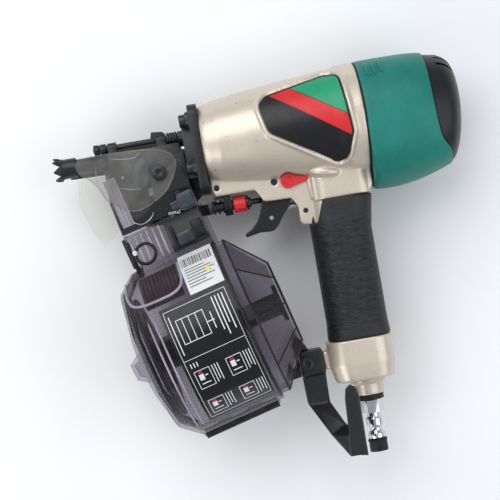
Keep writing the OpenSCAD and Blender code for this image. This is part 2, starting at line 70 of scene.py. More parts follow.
MAG = Matrix.Translation((66, -132.6, 0)) @ Matrix.Rotation(math.radians(14.5), 4, "Z")
DRUM_Z = 19.0


# ---------------------------------------------------------------- materials
class Nodes:
    def __init__(self, name):
        self.m = bpy.data.materials.new(name)
        self.m.use_nodes = True
        self.t = self.m.node_tree
        self.b = self.t.nodes["Principled BSDF"]
        self.co = self.t.nodes.new("ShaderNodeTexCoord").outputs["Object"]

    def link(self, a, b):
        self.t.links.new(a, b)

    def noise(self, scale, detail=3.0, rough=0.55, stretch=None, rot=(0, 0, 0), dist=0.0):
        n = self.t.nodes.new("ShaderNodeTexNoise")
        n.inputs["Scale"].default_value = scale
        n.inputs["Detail"].default_value = detail
        n.inputs["Roughness"].default_value = rough
        n.inputs["Distortion"].default_value = dist
        if stretch:
            mp = self.t.nodes.new("ShaderNodeMapping")
            mp.inputs["Scale"].default_value = stretch
            mp.inputs["Rotation"].default_value = rot
            self.link(self.co, mp.inputs["Vector"])
            self.link(mp.outputs["Vector"], n.inputs["Vector"])
        else:
            self.link(self.co, n.inputs["Vector"])
        return n.outputs["Fac"]

    def ramp(self, fac, stops):
        r = self.t.nodes.new("ShaderNodeValToRGB")
        e = r.color_ramp.elements
        while len(e) < len(stops):
            e.new(0.5)
        for i, (p, c) in enumerate(stops):
            e[i].position = p
            e[i].color = (c[0], c[1], c[2], 1) if isinstance(c, (tuple, list)) else (c, c, c, 1)
        self.link(fac, r.inputs["Fac"])
        return r.outputs["Color"]

    def mix(self, fac, a, b, mode="MIX"):
        x = self.t.nodes.new("ShaderNodeMix")
        x.data_type = "RGBA"
        x.blend_type = mode
        for sock, v in ((x.inputs["Factor"], fac), (x.inputs["A"], a), (x.inputs["B"], b)):
            if isinstance(v, (int, float)):
                if sock.type == "RGBA":
                    sock.default_value = (v, v, v, 1)
                else:
                    sock.default_value = v
            elif isinstance(v, (tuple, list)):
                sock.default_value = (v[0], v[1], v[2], 1)
            else:
                self.link(v, sock)
        return x.outputs["Result"]

    def math(self, op, a, b=None, c=None):
        x = self.t.nodes.new("ShaderNodeMath")
        x.operation = op
        for i, v in enumerate((a, b, c)):
            if v is None:
                continue
            if isinstance(v, (int, float)):
                x.inputs[i].default_value = v
            else:
                self.link(v, x.inputs[i])
        return x.outputs[0]

    def bump(self, height, strength, dist):
        b = self.t.nodes.new("ShaderNodeBump")
        b.inputs["Strength"].default_value = strength
        b.inputs["Distance"].default_value = dist
        self.link(height, b.inputs["Height"])
        return b.outputs["Normal"]


def material(name, base, rough=0.5, metal=0.0, var=0.12, grain=900, bump=0.25, depth=0.0001, scratch=0.25, chips=None,
             chip_amt=0.70, coat=0.0, alpha=None, tint=None, rough_var=0.12, spec=0.5, sheen=0.0, dust=0.0, edge=None, passes=(0.9, 0.9, 0.9)):
    """A worn moulded, painted or metal surface: colour clouds, fine grain, scratches, chips and dust, all in object space."""
    k = Nodes(name)
    b = k.b
    lo = [max(0, c * (1 - var)) for c in base]
    hi = [min(1, c * (1 + var)) for c in (tint or base)]
    cloud = k.noise(38, 4, 0.6)
    fine = k.noise(grain, 2, 0.6)
    col = k.mix(k.ramp(cloud, [(0.34, 0.0), (0.68, 1.0)]), lo, hi)
    col = k.mix(0.28, col, k.mix(k.ramp(fine, [(0.35, 0.0), (0.66, 1.0)]), [c * 0.75 for c in base], [min(1, c * 1.18) for c in base]))
    scr = None
    if scratch:
        s1 = k.ramp(k.noise(95, 5, 0.75, (0.25, 6.0, 6.0), (0.2, 0.3, 0.55), 0.3), [(0.655, 0.0), (0.69, 1.0)])
        s2 = k.ramp(k.noise(80, 5, 0.75, (7.0, 0.3, 5.0), (0.1, 0.5, -0.35), 0.3), [(0.665, 0.0), (0.70, 1.0)])
        scr = k.mix(1.0, s1, s2, "LIGHTEN")
        patch = k.ramp(k.noise(30, 2, 0.5), [(0.45, 0.0), (0.62, 1.0)])
        scr = k.mix(1.0, scr, patch, "MULTIPLY")
        amt = k.math("MULTIPLY", scr, scratch)
        light = [min(1, c * 1.5 + 0.10) for c in base]
        col = k.mix(amt, col, light)
    if chips:
        c1 = k.ramp(k.noise(420, 2, 0.5), [(chip_amt, 0.0), (chip_amt + 0.012, 1.0)])
        where = k.ramp(k.noise(26, 3, 0.6), [(0.46, 0.0), (0.60, 1.0)])
        cm = k.mix(1.0, c1, where, "MULTIPLY")
        col = k.mix(cm, col, chips)
    if dust:
        d = k.ramp(k.noise(700, 3, 0.7), [(0.60, 0.0), (0.72, 1.0)])
        w = k.ramp(k.noise(22, 3, 0.6), [(0.42, 0.0), (0.66, 1.0)])
        d = k.math("MULTIPLY", k.mix(1.0, d, w, "MULTIPLY"), dust)
        col = k.mix(d, col, (0.52, 0.50, 0.47))
    k.link(col, b.inputs["Base Color"])
    r = k.t.nodes.new("ShaderNodeMapRange")
    r.inputs["To Min"].default_value = max(0.02, rough - rough_var)
    r.inputs["To Max"].default_value = min(1.0, rough + rough_var)
    k.link(k.noise(120, 4, 0.65), r.inputs["Value"])
    k.link(r.outputs["Result"], b.inputs["Roughness"])
    b.inputs["Metallic"].default_value = metal
    b.inputs["Coat Weight"].default_value = coat
    b.inputs["Coat Roughness"].default_value = 0.12
    b.inputs["Specular IOR Level"].default_value = spec
    if sheen:
        b.inputs["Sheen Weight"].default_value = sheen
    if alpha is not None and edge is None:
        b.inputs["Alpha"].default_value = alpha
    elif alpha is not None:
        # light crosses more of a clear wall at a slant, so its edges look darker
        w = k.t.nodes.new("ShaderNodeLayerWeight")
        w.inputs["Blend"].default_value = 0.5
        clear = k.t.nodes.new("ShaderNodeBsdfTransparent")
        clear.inputs["Color"].default_value = (*passes, 1)
        both = k.t.nodes.new("ShaderNodeMixShader")
        k.link(k.math("MULTIPLY_ADD", k.math("POWER", w.outputs["Facing"], 3.0), edge - alpha, alpha), both.inputs[0])
        k.link(clear.outputs[0], both.inputs[1])
        k.link(b.outputs[0], both.inputs[2])
        k.link(both.outputs[0], k.t.nodes["Material Output"].inputs["Surface"])
    h = fine
    if scr is not None:
        h = k.math("SUBTRACT", fine, k.math("MULTIPLY", scr, 0.5))
    if bump:
        k.link(k.bump(h, bump, depth), b.inputs["Normal"])
    return k.m


CHAMP = (0.62, 0.545, 0.455)
M = {
    "housing_paint": material("housing_paint", CHAMP, 0.36, 0.42, 0.05, 2600, 0.22, 0.00006, 0.10, (0.07, 0.06, 0.05), 0.715, coat=0.25, rough_var=0.07),
    "green_plastic": material("green_plastic", (0.006, 0.158, 0.128), 0.42, 0, 0.10, 1500, 0.18, 0.00008, 0.22, tint=(0.010, 0.195, 0.158), rough_var=0.10, spec=0.32),
    "black_plastic": material("black_plastic", (0.008, 0.0085, 0.010), 0.38, 0, 0.15, 1300, 0.3, 0.00008, 0.10, dust=0.05, spec=0.34),
    "black_steel": material("black_steel", (0.010, 0.0105, 0.012), 0.34, 0.0, 0.2, 1200, 0.25, 0.00008, 0.22, (0.25, 0.24, 0.23), 0.745, dust=0.06, spec=0.45),
    "nose_casting": material("nose_casting", (0.009, 0.0095, 0.011), 0.38, 0.0, 0.2, 700, 0.40, 0.00012, 0.22, (0.30, 0.29, 0.27), 0.745, dust=0.12, spec=0.42),
    "liner_aluminium": material("liner_aluminium", (0.72, 0.73, 0.75), 0.28, 1.0, 0.05, 1500, 0.1, 0.00005, 0.2),
    "bright_steel": material("bright_steel", (0.50, 0.50, 0.51), 0.28, 1.0, 0.10, 1400, 0.15, 0.00005, 0.25),
    "spring_steel": material("spring_steel", (0.36, 0.36, 0.37), 0.32, 1.0, 0.12, 1400, 0.1, 0.00004, 0.1),
    "seal_rubber": material("seal_rubber", (0.006, 0.006, 0.0065), 0.50, 0, 0.15, 900, 0.3, 0.0001, 0.0, dust=0.05, spec=0.35),
    "smoky_plastic": material("smoky_plastic", (0.045, 0.039, 0.052), 0.16, 0, 0.10, 260, 0, 0.00004, 0.04, alpha=0.09, edge=0.60, passes=(0.875, 0.86, 0.885), spec=0.9, rough_var=0.03),
    "clear_soft_plastic": material("clear_soft_plastic", (0.115, 0.122, 0.130), 0.18, 0, 0.25, 500, 0.04, 0.00006, 0.45, tint=(0.44, 0.435, 0.40), alpha=0.15, edge=0.70, passes=(0.95, 0.95, 0.94), spec=0.8, rough_var=0.08),
    "clear_hard_plastic": material("clear_hard_plastic", (0.66, 0.67, 0.61), 0.16, 0, 0.05, 900, 0, 0.00005, 0.15, alpha=0.12, edge=0.55, passes=(0.965, 0.965, 0.95), spec=0.8, rough_var=0.04),
    "red_plastic": material("red_plastic", (0.62, 0.016, 0.020), 0.36, 0, 0.10, 1200, 0.2, 0.00007, 0.12, (0.12, 0.02, 0.02), 0.745),
    "latch_plastic": material("latch_plastic", (0.020, 0.025, 0.034), 0.26, 0, 0.25, 1200, 0.2, 0.00008, 0.30, tint=(0.035, 0.045, 0.062)),
    "badge_face": material("badge_face", (0.007, 0.007, 0.008), 0.34, 0, 0.15, 1200, 0.03, 0.00004, 0.10, spec=0.35),
    "valve_brass": material("valve_brass", (0.62, 0.46, 0.20), 0.3, 1.0, 0.08, 1200, 0.1, 0.00005, 0.15),
    "panel_print": material("panel_print", (0.006, 0.0065, 0.008), 0.30, 0, 0.15, 800, 0.03, 0.00004, 0.10, spec=0.34),
    "label_print": material("label_print", (0.62, 0.63, 0.62), 0.42, 0, 0.04, 900, 0.08, 0.00004, 0.05, tint=(0.68, 0.69, 0.68)),
    "plug_chrome": material("plug_chrome", (0.66, 0.67, 0.69), 0.12, 1.0, 0.05, 1200, 0.06, 0.00004, 0.25, rough_var=0.06),
    "badge_red": material("badge_red", (0.60, 0.018, 0.022), 0.36, 0, 0.06, 1200, 0.04, 0.00004, 0.08, spec=0.35),
    "badge_green": material("badge_green", (0.012, 0.30, 0.145), 0.36, 0, 0.06, 1200, 0.04, 0.00004, 0.08, spec=0.35),
    "print_white": material("print_white", (0.72, 0.73, 0.74), 0.4, 0, 0.06, 900, 0.05, 0.00004, 0.0),
    "print_yellow": material("print_yellow", (0.85, 0.72, 0.02), 0.4, 0, 0.06, 900, 0.05, 0.00004, 0.0),
    "print_grey": material("print_grey", (0.022, 0.024, 0.029), 0.25, 0, 0.2, 900, 0.05, 0.00004, 0.1),
    "brown_inner": material("brown_inner", (0.050, 0.026, 0.028), 0.35, 0, 0.3, 900, 0.2, 0.0001, 0.2),
    # rib_plastic is much lighter than the smoky shell it sits on: partly the ribs' own purple-grey tint, partly painted
    # highlight for the shine along ribs, strips and creases
    "rib_plastic": material("rib_plastic", (0.42, 0.39, 0.46), 0.24, 0, 0.12, 500, 0.05, 0.00005, 0.15, alpha=0.66, spec=0.7, rough_var=0.05),
    "mark_dark": material("mark_dark", (0.03, 0.03, 0.033), 0.5, 0, 0.2, 900, 0.1, 0.00005, 0.0),
}


def grip_material():
    k = Nodes("grip_rubber")
    warp = k.noise(60, 3, 0.6)
    # short wavy ridges across the grip, strongest in its middle
    sep = k.t.nodes.new("ShaderNodeSeparateXYZ")
    k.link(k.co, sep.inputs[0])
    ridge = k.noise(230, 3, 0.55, (0.55, 1.7, 0.8), (0, 0, 0.25), 1.2)
    mask = k.ramp(k.math("ABSOLUTE", k.math("ADD", sep.outputs["Y"], 0.104)), [(0.030, 1.0), (0.044, 0.0)])
    fine = k.noise(1800, 2, 0.6)
    h = k.math("ADD", k.math("MULTIPLY", k.math("MULTIPLY", ridge, mask), 1.6), k.math("MULTIPLY", fine, 0.16))
    col = k.mix(k.ramp(ridge, [(0.35, 0.0), (0.7, 1.0)]), (0.004, 0.0045, 0.005), (0.011, 0.012, 0.013))
    col = k.mix(k.math("MULTIPLY", k.ramp(warp, [(0.5, 0.0), (0.75, 1.0)]), 0.30), col, (0.020, 0.021, 0.022))
    k.link(col, k.b.inputs["Base Color"])
    k.b.inputs["Roughness"].default_value = 0.46
    k.b.inputs["Specular IOR Level"].default_value = 0.45
    k.link(k.bump(h, 1.0, 0.0011), k.b.inputs["Normal"])
    return k.m


M["grip_rubber"] = grip_material()


# ---------------------------------------------------------------- mesh helpers
def piece(name, verts, faces, mat, body, smooth=True, angle=40, matrix=None, rep=()):
    """A mesh given in millimetres, riding on a body."""
    me = bpy.data.meshes.new(name)
    vs = [Vector(v) for v in verts]
    if matrix is not None:
        vs = [matrix @ v for v in vs]
    me.from_pydata([(v.x * S, v.y * S, v.z * S) for v in vs], [], faces)
    me.validate()
    bm = bmesh.new(); bm.from_mesh(me)
    bmesh.ops.recalc_face_normals(bm, faces=bm.faces)
    bm.to_mesh(me); bm.free()
    me.materials.append(M[mat])
    o = bpy.data.objects.new(name, me)
    scene.collection.objects.link(o)
    if smooth:
        me.polygons.foreach_set("use_smooth", [True] * len(me.polygons))
        me.set_sharp_from_angle(angle=math.radians(angle))
    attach(o, body)
    if rep:
        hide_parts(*rep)
    return o


def grab(node):
    """Vertices and faces of a CAD node, welded, in a bmesh in metres."""
    bm = bmesh.new()
    bm.from_mesh(N[node].data)
    bmesh.ops.remove_doubles(bm, verts=bm.verts, dist=2e-6)
    return bm


def add_mesh(bm, verts, faces):
    vs = [bm.verts.new((v[0] * S, v[1] * S, v[2] * S)) for v in verts]
    for f in faces:
        try:
            bm.faces.new([vs[i] for i in f])
        except ValueError:
            pass


def finish_bm(name, bm, mat, body, mods=(), rep=(), angle=None):
    me = bpy.data.meshes.new(name)
    bm.normal_update()
    bm.to_mesh(me); bm.free()
    o = bpy.data.objects.new(name, me)
    scene.collection.objects.link(o)
    for kind, props in mods:
        md = o.modifiers.new(kind.lower(), kind)
        for a, v in props.items():
            setattr(md, a, v)
    if mods:
        dg = bpy.context.evaluated_depsgraph_get()
        out = bpy.data.meshes.new_from_object(o.evaluated_get(dg))
        o.modifiers.clear()
        o.data = out
        out.name = name
    o.data.materials.clear()
    o.data.materials.append(M[mat])
    o.data.polygons.foreach_set("use_smooth", [True] * len(o.data.polygons))
    if angle:
        o.data.set_sharp_from_angle(angle=math.radians(angle))
    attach(o, body)
    if rep:
        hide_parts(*rep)
    return o


def soften(node, voxel=0.8, iters=6, extra=None, mat=None, name=None):
    """The node's shape with the small radii that a mould or a casting leaves on every edge."""
    bm = grab(node)
    if extra:
        extra(bm)
    return finish_bm(name or node + "_skin", bm, mat or SLOT[node], BODY[node],
                     [("REMESH", {"mode": "VOXEL", "voxel_size": voxel * S, "adaptivity": 0.0}),
                      ("SMOOTH", {"factor": 0.5, "iterations": iters})], rep=(node,))


def bevelled(node, width=0.4, seg=2, angle=32, mat=None):
    """The node with its hard edges broken by a small radius."""
    bm = grab(node)
    bmesh.ops.dissolve_limit(bm, angle_limit=math.radians(1.0), verts=bm.verts, edges=bm.edges)
    return finish_bm(node + "_skin", bm, mat or SLOT[node], BODY[node],
                     [("BEVEL", {"width": width * S, "segments": seg, "limit_method": "ANGLE", "angle_limit": math.radians(angle), "use_clamp_overlap": True, "miter_outer": "MITER_ARC"})],
                     rep=(node,), angle=38)


def ellipsoid(cx, cy, cz, rx, ry, rz, rot=0, nu=24, nv=14):
    vs, fs = [], []
    c, s = math.cos(math.radians(rot)), math.sin(math.radians(rot))
    for j in range(nv + 1):
        t = math.pi * j / nv
        for i in range(nu):
            p = 2 * math.pi * i / nu
            x, y, z = rx * math.sin(t) * math.cos(p), ry * math.sin(t) * math.sin(p), rz * math.cos(t)
            vs.append((cx + x * c - y * s, cy + x * s + y * c, cz + z))
    for j in range(nv):
        for i in range(nu):
            a, b = j * nu + i, j * nu + (i + 1) % nu
            fs.append((a, b, b + nu, a + nu))
    return vs, fs


def tube_mesh(path, r, sides=10, closed=False):
    """A round tube swept along points, with rounded-off flat ends."""
    pts = [Vector(p) for p in path]
    n = len(pts)
    tang = []
    for i in range(n):
        a = pts[(i - 1) % n] if (closed or i > 0) else pts[0]
        b = pts[(i + 1) % n] if (closed or i < n - 1) else pts[-1]
        tang.append((b - a).normalized())
    ref = Vector((0, 0, 1)) if abs(tang[0].z) < 0.9 else Vector((1, 0, 0))
    u = (ref - tang[0] * ref.dot(tang[0])).normalized()
    vs, fs = [], []
    rad = r if callable(r) else (lambda t: r)
    for i in range(n):
        u = (u - tang[i] * u.dot(tang[i])).normalized()
        w = tang[i].cross(u)
        ri = rad(i / max(1, n - 1))
        for k in range(sides):
            a = 2 * math.pi * k / sides
            vs.append(pts[i] + (u * math.cos(a) + w * math.sin(a)) * ri)
    m = n if closed else n - 1
    for i in range(m):
        for k in range(sides):
            a, b = i * sides + k, i * sides + (k + 1) % sides
            j = ((i + 1) % n) * sides
            fs.append((a, b, j + (k + 1) % sides, j + k))
    if not closed:
        fs.append(tuple(reversed(range(sides))))
        fs.append(tuple((n - 1) * sides + k for k in range(sides)))
    return vs, fs


def extrude_poly(pts, z0, z1):
    n = len(pts)
    vs = [(x, y, z0) for x, y in pts] + [(x, y, z1) for x, y in pts]
    fs = [tuple(reversed(range(n))), tuple(range(n, 2 * n))]
    fs += [(i, (i + 1) % n, n + (i + 1) % n, n + i) for i in range(n)]
    return vs, fs


def helix(x0, x1, R, r, turns, axis="x", y=0, z=0, per=28):
    """Points of a wound spring with its end coils closed."""
    n = int(turns * per)
    out = []
    for i in range(n + 1):
        t = i / n
        a = 2 * math.pi * turns * t
        e = t
        c = 0.75 / turns
        if t < c:
            e = 0.35 * t
        elif t > 1 - c:
            e = 1 - 0.35 * (1 - t)
        else:
            e = 0.35 * c + (t - c) / (1 - 2 * c) * (1 - 0.7 * c)
        q = x0 + r + (x1 - x0 - 2 * r) * e
        if axis == "x":
            out.append((q, y + R * math.cos(a), z + R * math.sin(a)))
        elif axis == "y":
            out.append((y + R * math.cos(a), q, z + R * math.sin(a)))
        else:
            out.append((y + R * math.cos(a), z + R * math.sin(a), q))
    return out


# ---------------------------------------------------------------- camera, light, floor
lo, hi = CAD_BOX
floor_z = lo[2]
cam_d = bpy.data.cameras.new("camera")
cam = bpy.data.objects.new("camera", cam_d)
scene.collection.objects.link(cam)
CAM_Z = 0.90
cam.location = (0.1134, -0.0776, CAM_Z)
cam.rotation_euler = (0, 0, math.radians(-9.8))
cam_d.sensor_width = 36
cam_d.lens = 36 * CAM_Z / 0.350
cam_d.clip_start = 0.01
scene.camera = cam

fl = bpy.data.meshes.new("floor")
g = 2.2
fl.from_pydata([(-g, -g, floor_z), (g, -g, floor_z), (g, g, floor_z), (-g, g, floor_z)], [], [(0, 1, 2, 3)])
floor = bpy.data.objects.new("floor", fl)
scene.collection.objects.link(floor)
km = Nodes("floor_paper")
km.link(km.mix(km.ramp(km.noise(3, 3, 0.6), [(0.35, 0.0), (0.65, 1.0)]), (0.82, 0.835, 0.85), (0.86, 0.865, 0.87)), km.b.inputs["Base Color"])
km.b.inputs["Roughness"].default_value = 0.75
fl.materials.append(km.m)


def area(name, loc, target, size, power, color=(1, 1, 1)):
    d = bpy.data.lights.new(name, "AREA")
    d.shape = "RECTANGLE"
    d.size, d.size_y = size
    d.energy = power
    d.color = color
    o = bpy.data.objects.new(name, d)
    o.location = loc
    o.rotation_euler = (Vector(target) - Vector(loc)).to_track_quat("-Z", "Y").to_euler()
    scene.collection.objects.link(o)


C = (0.12, -0.08, 0.0)
area("key", (-0.35, 0.75, 1.15), C, (1.5, 1.2), 15.0)
area("fill", (0.95, -0.30, 0.95), C, (1.1, 1.1), 5.6, (0.95, 0.97, 1.0))
area("front", (-0.75, -0.65, 0.8), C, (0.7, 0.7), 4.4)
w = bpy.data.worlds.new("world")
scene.world = w
w.use_nodes = True
w.node_tree.nodes["Background"].inputs["Color"].default_value = (0.93, 0.95, 1.0, 1)
w.node_tree.nodes["Background"].inputs["Strength"].default_value = 0.47


# ---------------------------------------------------------------- housing
HOUSING = [(93.4, 25.6), (94.4, 26.8), (97, 27.8), (105, 29.8), (125, 32.5), (156, 35.4), (190.5, 38.0), (191.4, 38.0), (192, 39.2), (205, 39.2)]


def housing_r(x):
    for (a, ra), (b, rb) in zip(HOUSING, HOUSING[1:]):
        if x <= b:
            return ra + (rb - ra) * max(0, (x - a)) / (b - a)
    return HOUSING[-1][1]


def on_housing(x, y, lift=0.0):
    r = housing_r(x) + lift
    return (x, y, math.sqrt(max(0.0, r * r - y * y)))


def on_badge(x, y, lift=0.0):
    r = housing_r(x) if x < 184 else 37.45 + (39.2 - 37.45) * min(1.0, (x - 184) / 8)
    r = max(r, housing_r(x)) + lift
    return (x, y, math.sqrt(max(0.0, r * r - y * y)))


def circle_hull(circles, grow=0.0, step=6):
    """Outline of the convex hull of circles, counter-clockwise."""
    pts = []
    for cx, cy, r in circles:
        for a in range(0, 360, step):
            t = math.radians(a)
            pts.append((cx + (r + grow) * math.cos(t), cy + (r + grow) * math.sin(t)))
    pts = sorted(set(pts))

    def half(ps):
        h = []
        for p in ps:
            while len(h) > 1 and (h[-1][0] - h[-2][0]) * (p[1] - h[-2][1]) - (h[-1][1] - h[-2][1]) * (p[0] - h[-2][0]) <= 1e-9:
                h.pop()
            h.append(p)
        return h
    a, b = half(pts), half(pts[::-1])
    return a[:-1] + b[:-1]


def resample(poly, step):
    out = []
    n = len(poly)
    for i in range(n):
        a, b = Vector((*poly[i], 0)), Vector((*poly[(i + 1) % n], 0))
        m = max(1, int(round((b - a).length / step)))
        for k in range(m):
            p = a + (b - a) * (k / m)
            out.append((p.x, p.y))
    return out


BADGE = [(145.4, 15.0, 9.6), (181.5, 26.4, 5), (187.4, 25.6, 5.4), (188.8, -9.6, 6.8), (184.2, -21.2, 7.4), (147.4, 3.6, 9.2)]


def housing_extra(bm):
    # raised rim round the badge
    ring = resample(circle_hull(BADGE, 1.5), 2.0)
    v, f = tube_mesh([on_badge(x, y, 0.1) for x, y in ring], 1.55, 12, True)
    add_mesh(bm, v, f)
    # boss and web where the barrel runs down into the handle
    v, f = ellipsoid(173.5, -33.4, 15.0, 12.0, 4.4, 7.4, -10)
    add_mesh(bm, v, f)
    v, f = ellipsoid(173.5, -33.4, -15.0, 12.0, 4.4, 7.4, -10)
    add_mesh(bm, v, f)
    # foot of the trigger cheeks, which laps over the front of the grip
    lobe = [(146, -36), (147.6, -47), (151.2, -53), (151.3, -64.2), (153, -66.4), (160.0, -67.4), (162.2, -65.6), (168.0, -50), (169.4, -44), (169.4, -30), (150, -30)]
    for za, zb in ((7.3, 10.95), (-10.95, -7.3)):
        v, f = extrude_poly(lobe, za, zb)
        add_mesh(bm, v, f)
    # gusset between the cheek and the handle
    v, f = extrude_poly([(160, -36), (170, -30), (176, -36), (170, -49), (161, -50)], -13.0, 13.0)
    add_mesh(bm, v, f)


soften("main_housing", 0.75, 5, housing_extra)


# ---------------------------------------------------------------- badge
def badge_field(name, mat, poly, lift, thick=0.18):
    """A flat printed field, draped on the barrel. poly is convex, counter-clockwise, in mm."""
    x0, x1 = min(p[0] for p in poly), max(p[0] for p in poly)
    y0, y1 = min(p[1] for p in poly), max(p[1] for p in poly)
    bm = bmesh.new()
    nx, ny = int((x1 - x0) / 1.6) + 2, int((y1 - y0) / 1.2) + 2
    grid = [[bm.verts.new((x0 + (x1 - x0) * i / nx, y0 + (y1 - y0) * j / ny, 0)) for j in range(ny + 1)] for i in range(nx + 1)]
    for i in range(nx):
        for j in range(ny):
            bm.faces.new((grid[i][j], grid[i + 1][j], grid[i + 1][j + 1], grid[i][j + 1]))
    n = len(poly)
    for i in range(n):
        a, b = poly[i], poly[(i + 1) % n]
        d = Vector((b[0] - a[0], b[1] - a[1], 0))
        if d.length < 1e-6:
            continue
        nrm = Vector((d.y, -d.x, 0)).normalized()
        bmesh.ops.bisect_plane(bm, geom=bm.verts[:] + bm.edges[:] + bm.faces[:], plane_co=(a[0], a[1], 0), plane_no=nrm, clear_outer=True, dist=1e-5)
    bmesh.ops.remove_doubles(bm, verts=bm.verts, dist=1e-4)
    for v in bm.verts:
        x, y, z = on_badge(v.co.x, v.co.y, lift)
        v.co = (x * S, y * S, z * S)
    top = bm.faces[:]
    ret = bmesh.ops.extrude_face_region(bm, geom=top)
    for v in [g for g in ret["geom"] if isinstance(g, bmesh.types.BMVert)]:
        v.co.z -= thick * S
    bmesh.ops.recalc_face_normals(bm, faces=bm.faces)
    return finish_bm(name, bm, mat, "housing", angle=40)


def clip(poly, nx, ny, d):
    """Keeps the part of a convex polygon where nx*x + ny*y <= d."""
    out = []
    for i in range(len(poly)):
        a, b = poly[i], poly[(i + 1) % len(poly)]
        fa, fb = nx * a[0] + ny * a[1] - d, nx * b[0] + ny * b[1] - d
        if fa <= 0:
            out.append(a)
        if fa * fb < 0:
            t = fa / (fa - fb)
            out.append((a[0] + (b[0] - a[0]) * t, a[1] + (b[1] - a[1]) * t))
    return out


face = circle_hull(BADGE, -0.15, 8)
inner = circle_hull(BADGE, -1.3, 8)
badge_field("badge_ground", "badge_face", face, 1.52)
# colour fields: a band across, a corner above it
badge_field("badge_band", "badge_red", clip(clip(inner, 0.70, 1, 136.6), -0.72, -1, -126.6), 1.62)
badge_field("badge_corner", "badge_green", clip(inner, -0.70, -1, -137.1), 1.62)


# ---------------------------------------------------------------- cap and exhaust cover
def smooth_curve(table):
    """Monotone interpolation of (x, value) pairs."""
    xs, ys = [p[0] for p in table], [p[1] for p in table]

    def f(x):
        if x <= xs[0]:
            return ys[0]
        if x >= xs[-1]:
            return ys[-1]
        for i in range(len(xs) - 1):
            if x <= xs[i + 1]:
                h = xs[i + 1] - xs[i]
                t = (x - xs[i]) / h

                def slope(j):
                    if j <= 0 or j >= len(xs) - 1:
                        return (ys[min(j + 1, len(xs) - 1)] - ys[max(j - 1, 0)]) / (xs[min(j + 1, len(xs) - 1)] - xs[max(j - 1, 0)])
                    return (ys[j + 1] - ys[j - 1]) / (xs[j + 1] - xs[j - 1])
                m0, m1 = slope(i) * h, slope(i + 1) * h
                return (2 * t ** 3 - 3 * t * t + 1) * ys[i] + (t ** 3 - 2 * t * t + t) * m0 + (-2 * t ** 3 + 3 * t * t) * ys[i + 1] + (t ** 3 - t * t) * m1
    return f


cap_top = smooth_curve([(205.8, 39.4), (214, 39.55), (228, 39.5), (240, 39.2), (250, 38.2), (256, 37.0), (262, 35.6)])
cap_bot = smooth_curve([(205.8, -48.5), (207.5, -50.2), (214, -51.0), (226, -50.8), (240, -48.6), (250, -46.0), (262, -41.8), (266, -39.8)])
cap_w = smooth_curve([(205.8, 39.3), (214, 39.5), (230, 39.6), (245, 38.9), (256, 37.6), (266, 35.8)])


def cap_section(x, t, shrink=0.0, power=2.25):
    """A point of the cap's outer surface at angle t from +Y towards +Z."""
    top, bot, wz = cap_top(x) - shrink, cap_bot(x) + shrink, cap_w(x) - shrink
    cy, ry = (top + bot) / 2, (top - bot) / 2
    c, s = math.cos(t), math.sin(t)
    e = 2 / power
    y = cy + ry * math.copysign(abs(c) ** e, c)
    z = wz * math.copysign(abs(s) ** e, s)
    return y, z


def seam_x(y):
    """Where the cap meets the exhaust cover, as a function of height on the cap."""
    return smooth_curve([(-45, 262.6), (-38, 261.6), (-33.5, 259.8), (-29, 257.0), (-23, 254.4), (-8, 252.6), (15, 252.0), (37, 252.4)])(y)


def lofted(name, mat, body, rep, rings, closed_front=True, mods=(), angle=42):
    """Closed skin over a list of rings, each a list of points in mm."""
    n = len(rings[0])
    vs, fs = [], []
    for r in rings:
        vs += r
    for j in range(len(rings) - 1):
        for i in range(n):
            a, b = j * n + i, j * n + (i + 1) % n
            fs.append((a, b, b + n, a + n))
    bm = bmesh.new()
    add_mesh(bm, vs, fs)
    bm.verts.ensure_lookup_table()
    ends = [list(range(n)), list(range((len(rings) - 1) * n, len(rings) * n))]
    for k, idx in enumerate(ends):
        ctr = sum((bm.verts[i].co for i in idx), Vector()) / n
        c = bm.verts.new(ctr)
        bm.verts.ensure_lookup_table()
        for i in range(n):
            bm.faces.new((bm.verts[idx[i]], bm.verts[idx[(i + 1) % n]], c))
    bmesh.ops.recalc_face_normals(bm, faces=bm.faces)
    return finish_bm(name, bm, mat, body, mods, rep, angle)


NS = 112
angs = [2 * math.pi * i / NS for i in range(NS)]
rings = []
r0 = [(205.9, *[c * 0.965 for c in cap_section(205.8, t)]) for t in angs]
rings.append([(205.9, y, z) for (_, y, z) in r0])
for fx, sh in ((0.0, 1.0), (0.012, 0.35), (0.03, 0.0)):
    rings.append([(205.85 + fx * 52, *cap_section(206 + fx * 52, t, sh)) for t in angs])
for k in range(1, 27):
    fx = 0.03 + 0.955 * k / 26
    ring = []
    for t in angs:
        y0_, z0_ = cap_section(257, t)
        xe = seam_x(y0_)
        x = 205.85 + (xe - 205.85) * fx
        ring.append((x, *cap_section(x, t)))
    rings.append(ring)
for fx, sh in ((0.993, 0.10), (1.0, 0.55), (1.0, 1.6), (1.0, 14.0)):
    ring = []
    for t in angs:
        y0_, z0_ = cap_section(257, t)
        x = 205.85 + (seam_x(y0_) - 205.85) * fx
        ring.append((x, *cap_section(x, t, sh)))
    rings.append(ring)
cap = lofted("cap_shell", "green_plastic", "housing", ("cylinder_cap", "cap_screws"), rings)

# three short raised ribs on each side of the cap
for side in (1, -1):
    for i, (x, ya, yb) in enumerate(((211.6, 34.6, 24.6), (216.2, 35.2, 25.6), (220.8, 35.8, 26.6))):
        path = []
        for k in range(15):
            y = ya + (yb - ya) * k / 14
            xx = x + 0.10 * (ya - y)
            # height of the surface above this y
            lo_t, hi_t = 0.0, math.pi
            for _ in range(36):
                mid = (lo_t + hi_t) / 2
                if cap_section(xx, mid)[0] > y:
                    lo_t = mid
                else:
                    hi_t = mid
            path.append((xx, y, side * (cap_section(xx, lo_t)[1] + 0.15)))
        v, f = tube_mesh([(a, b, c + side * 0.25) for a, b, c in path], lambda t: 1.2 * min(1, 6 * t + 0.35, 6 * (1 - t) + 0.35), 12)
        piece(f"cap_rib_{'left' if side > 0 else 'right'}_{i}", v, f, "green_plastic", "housing")

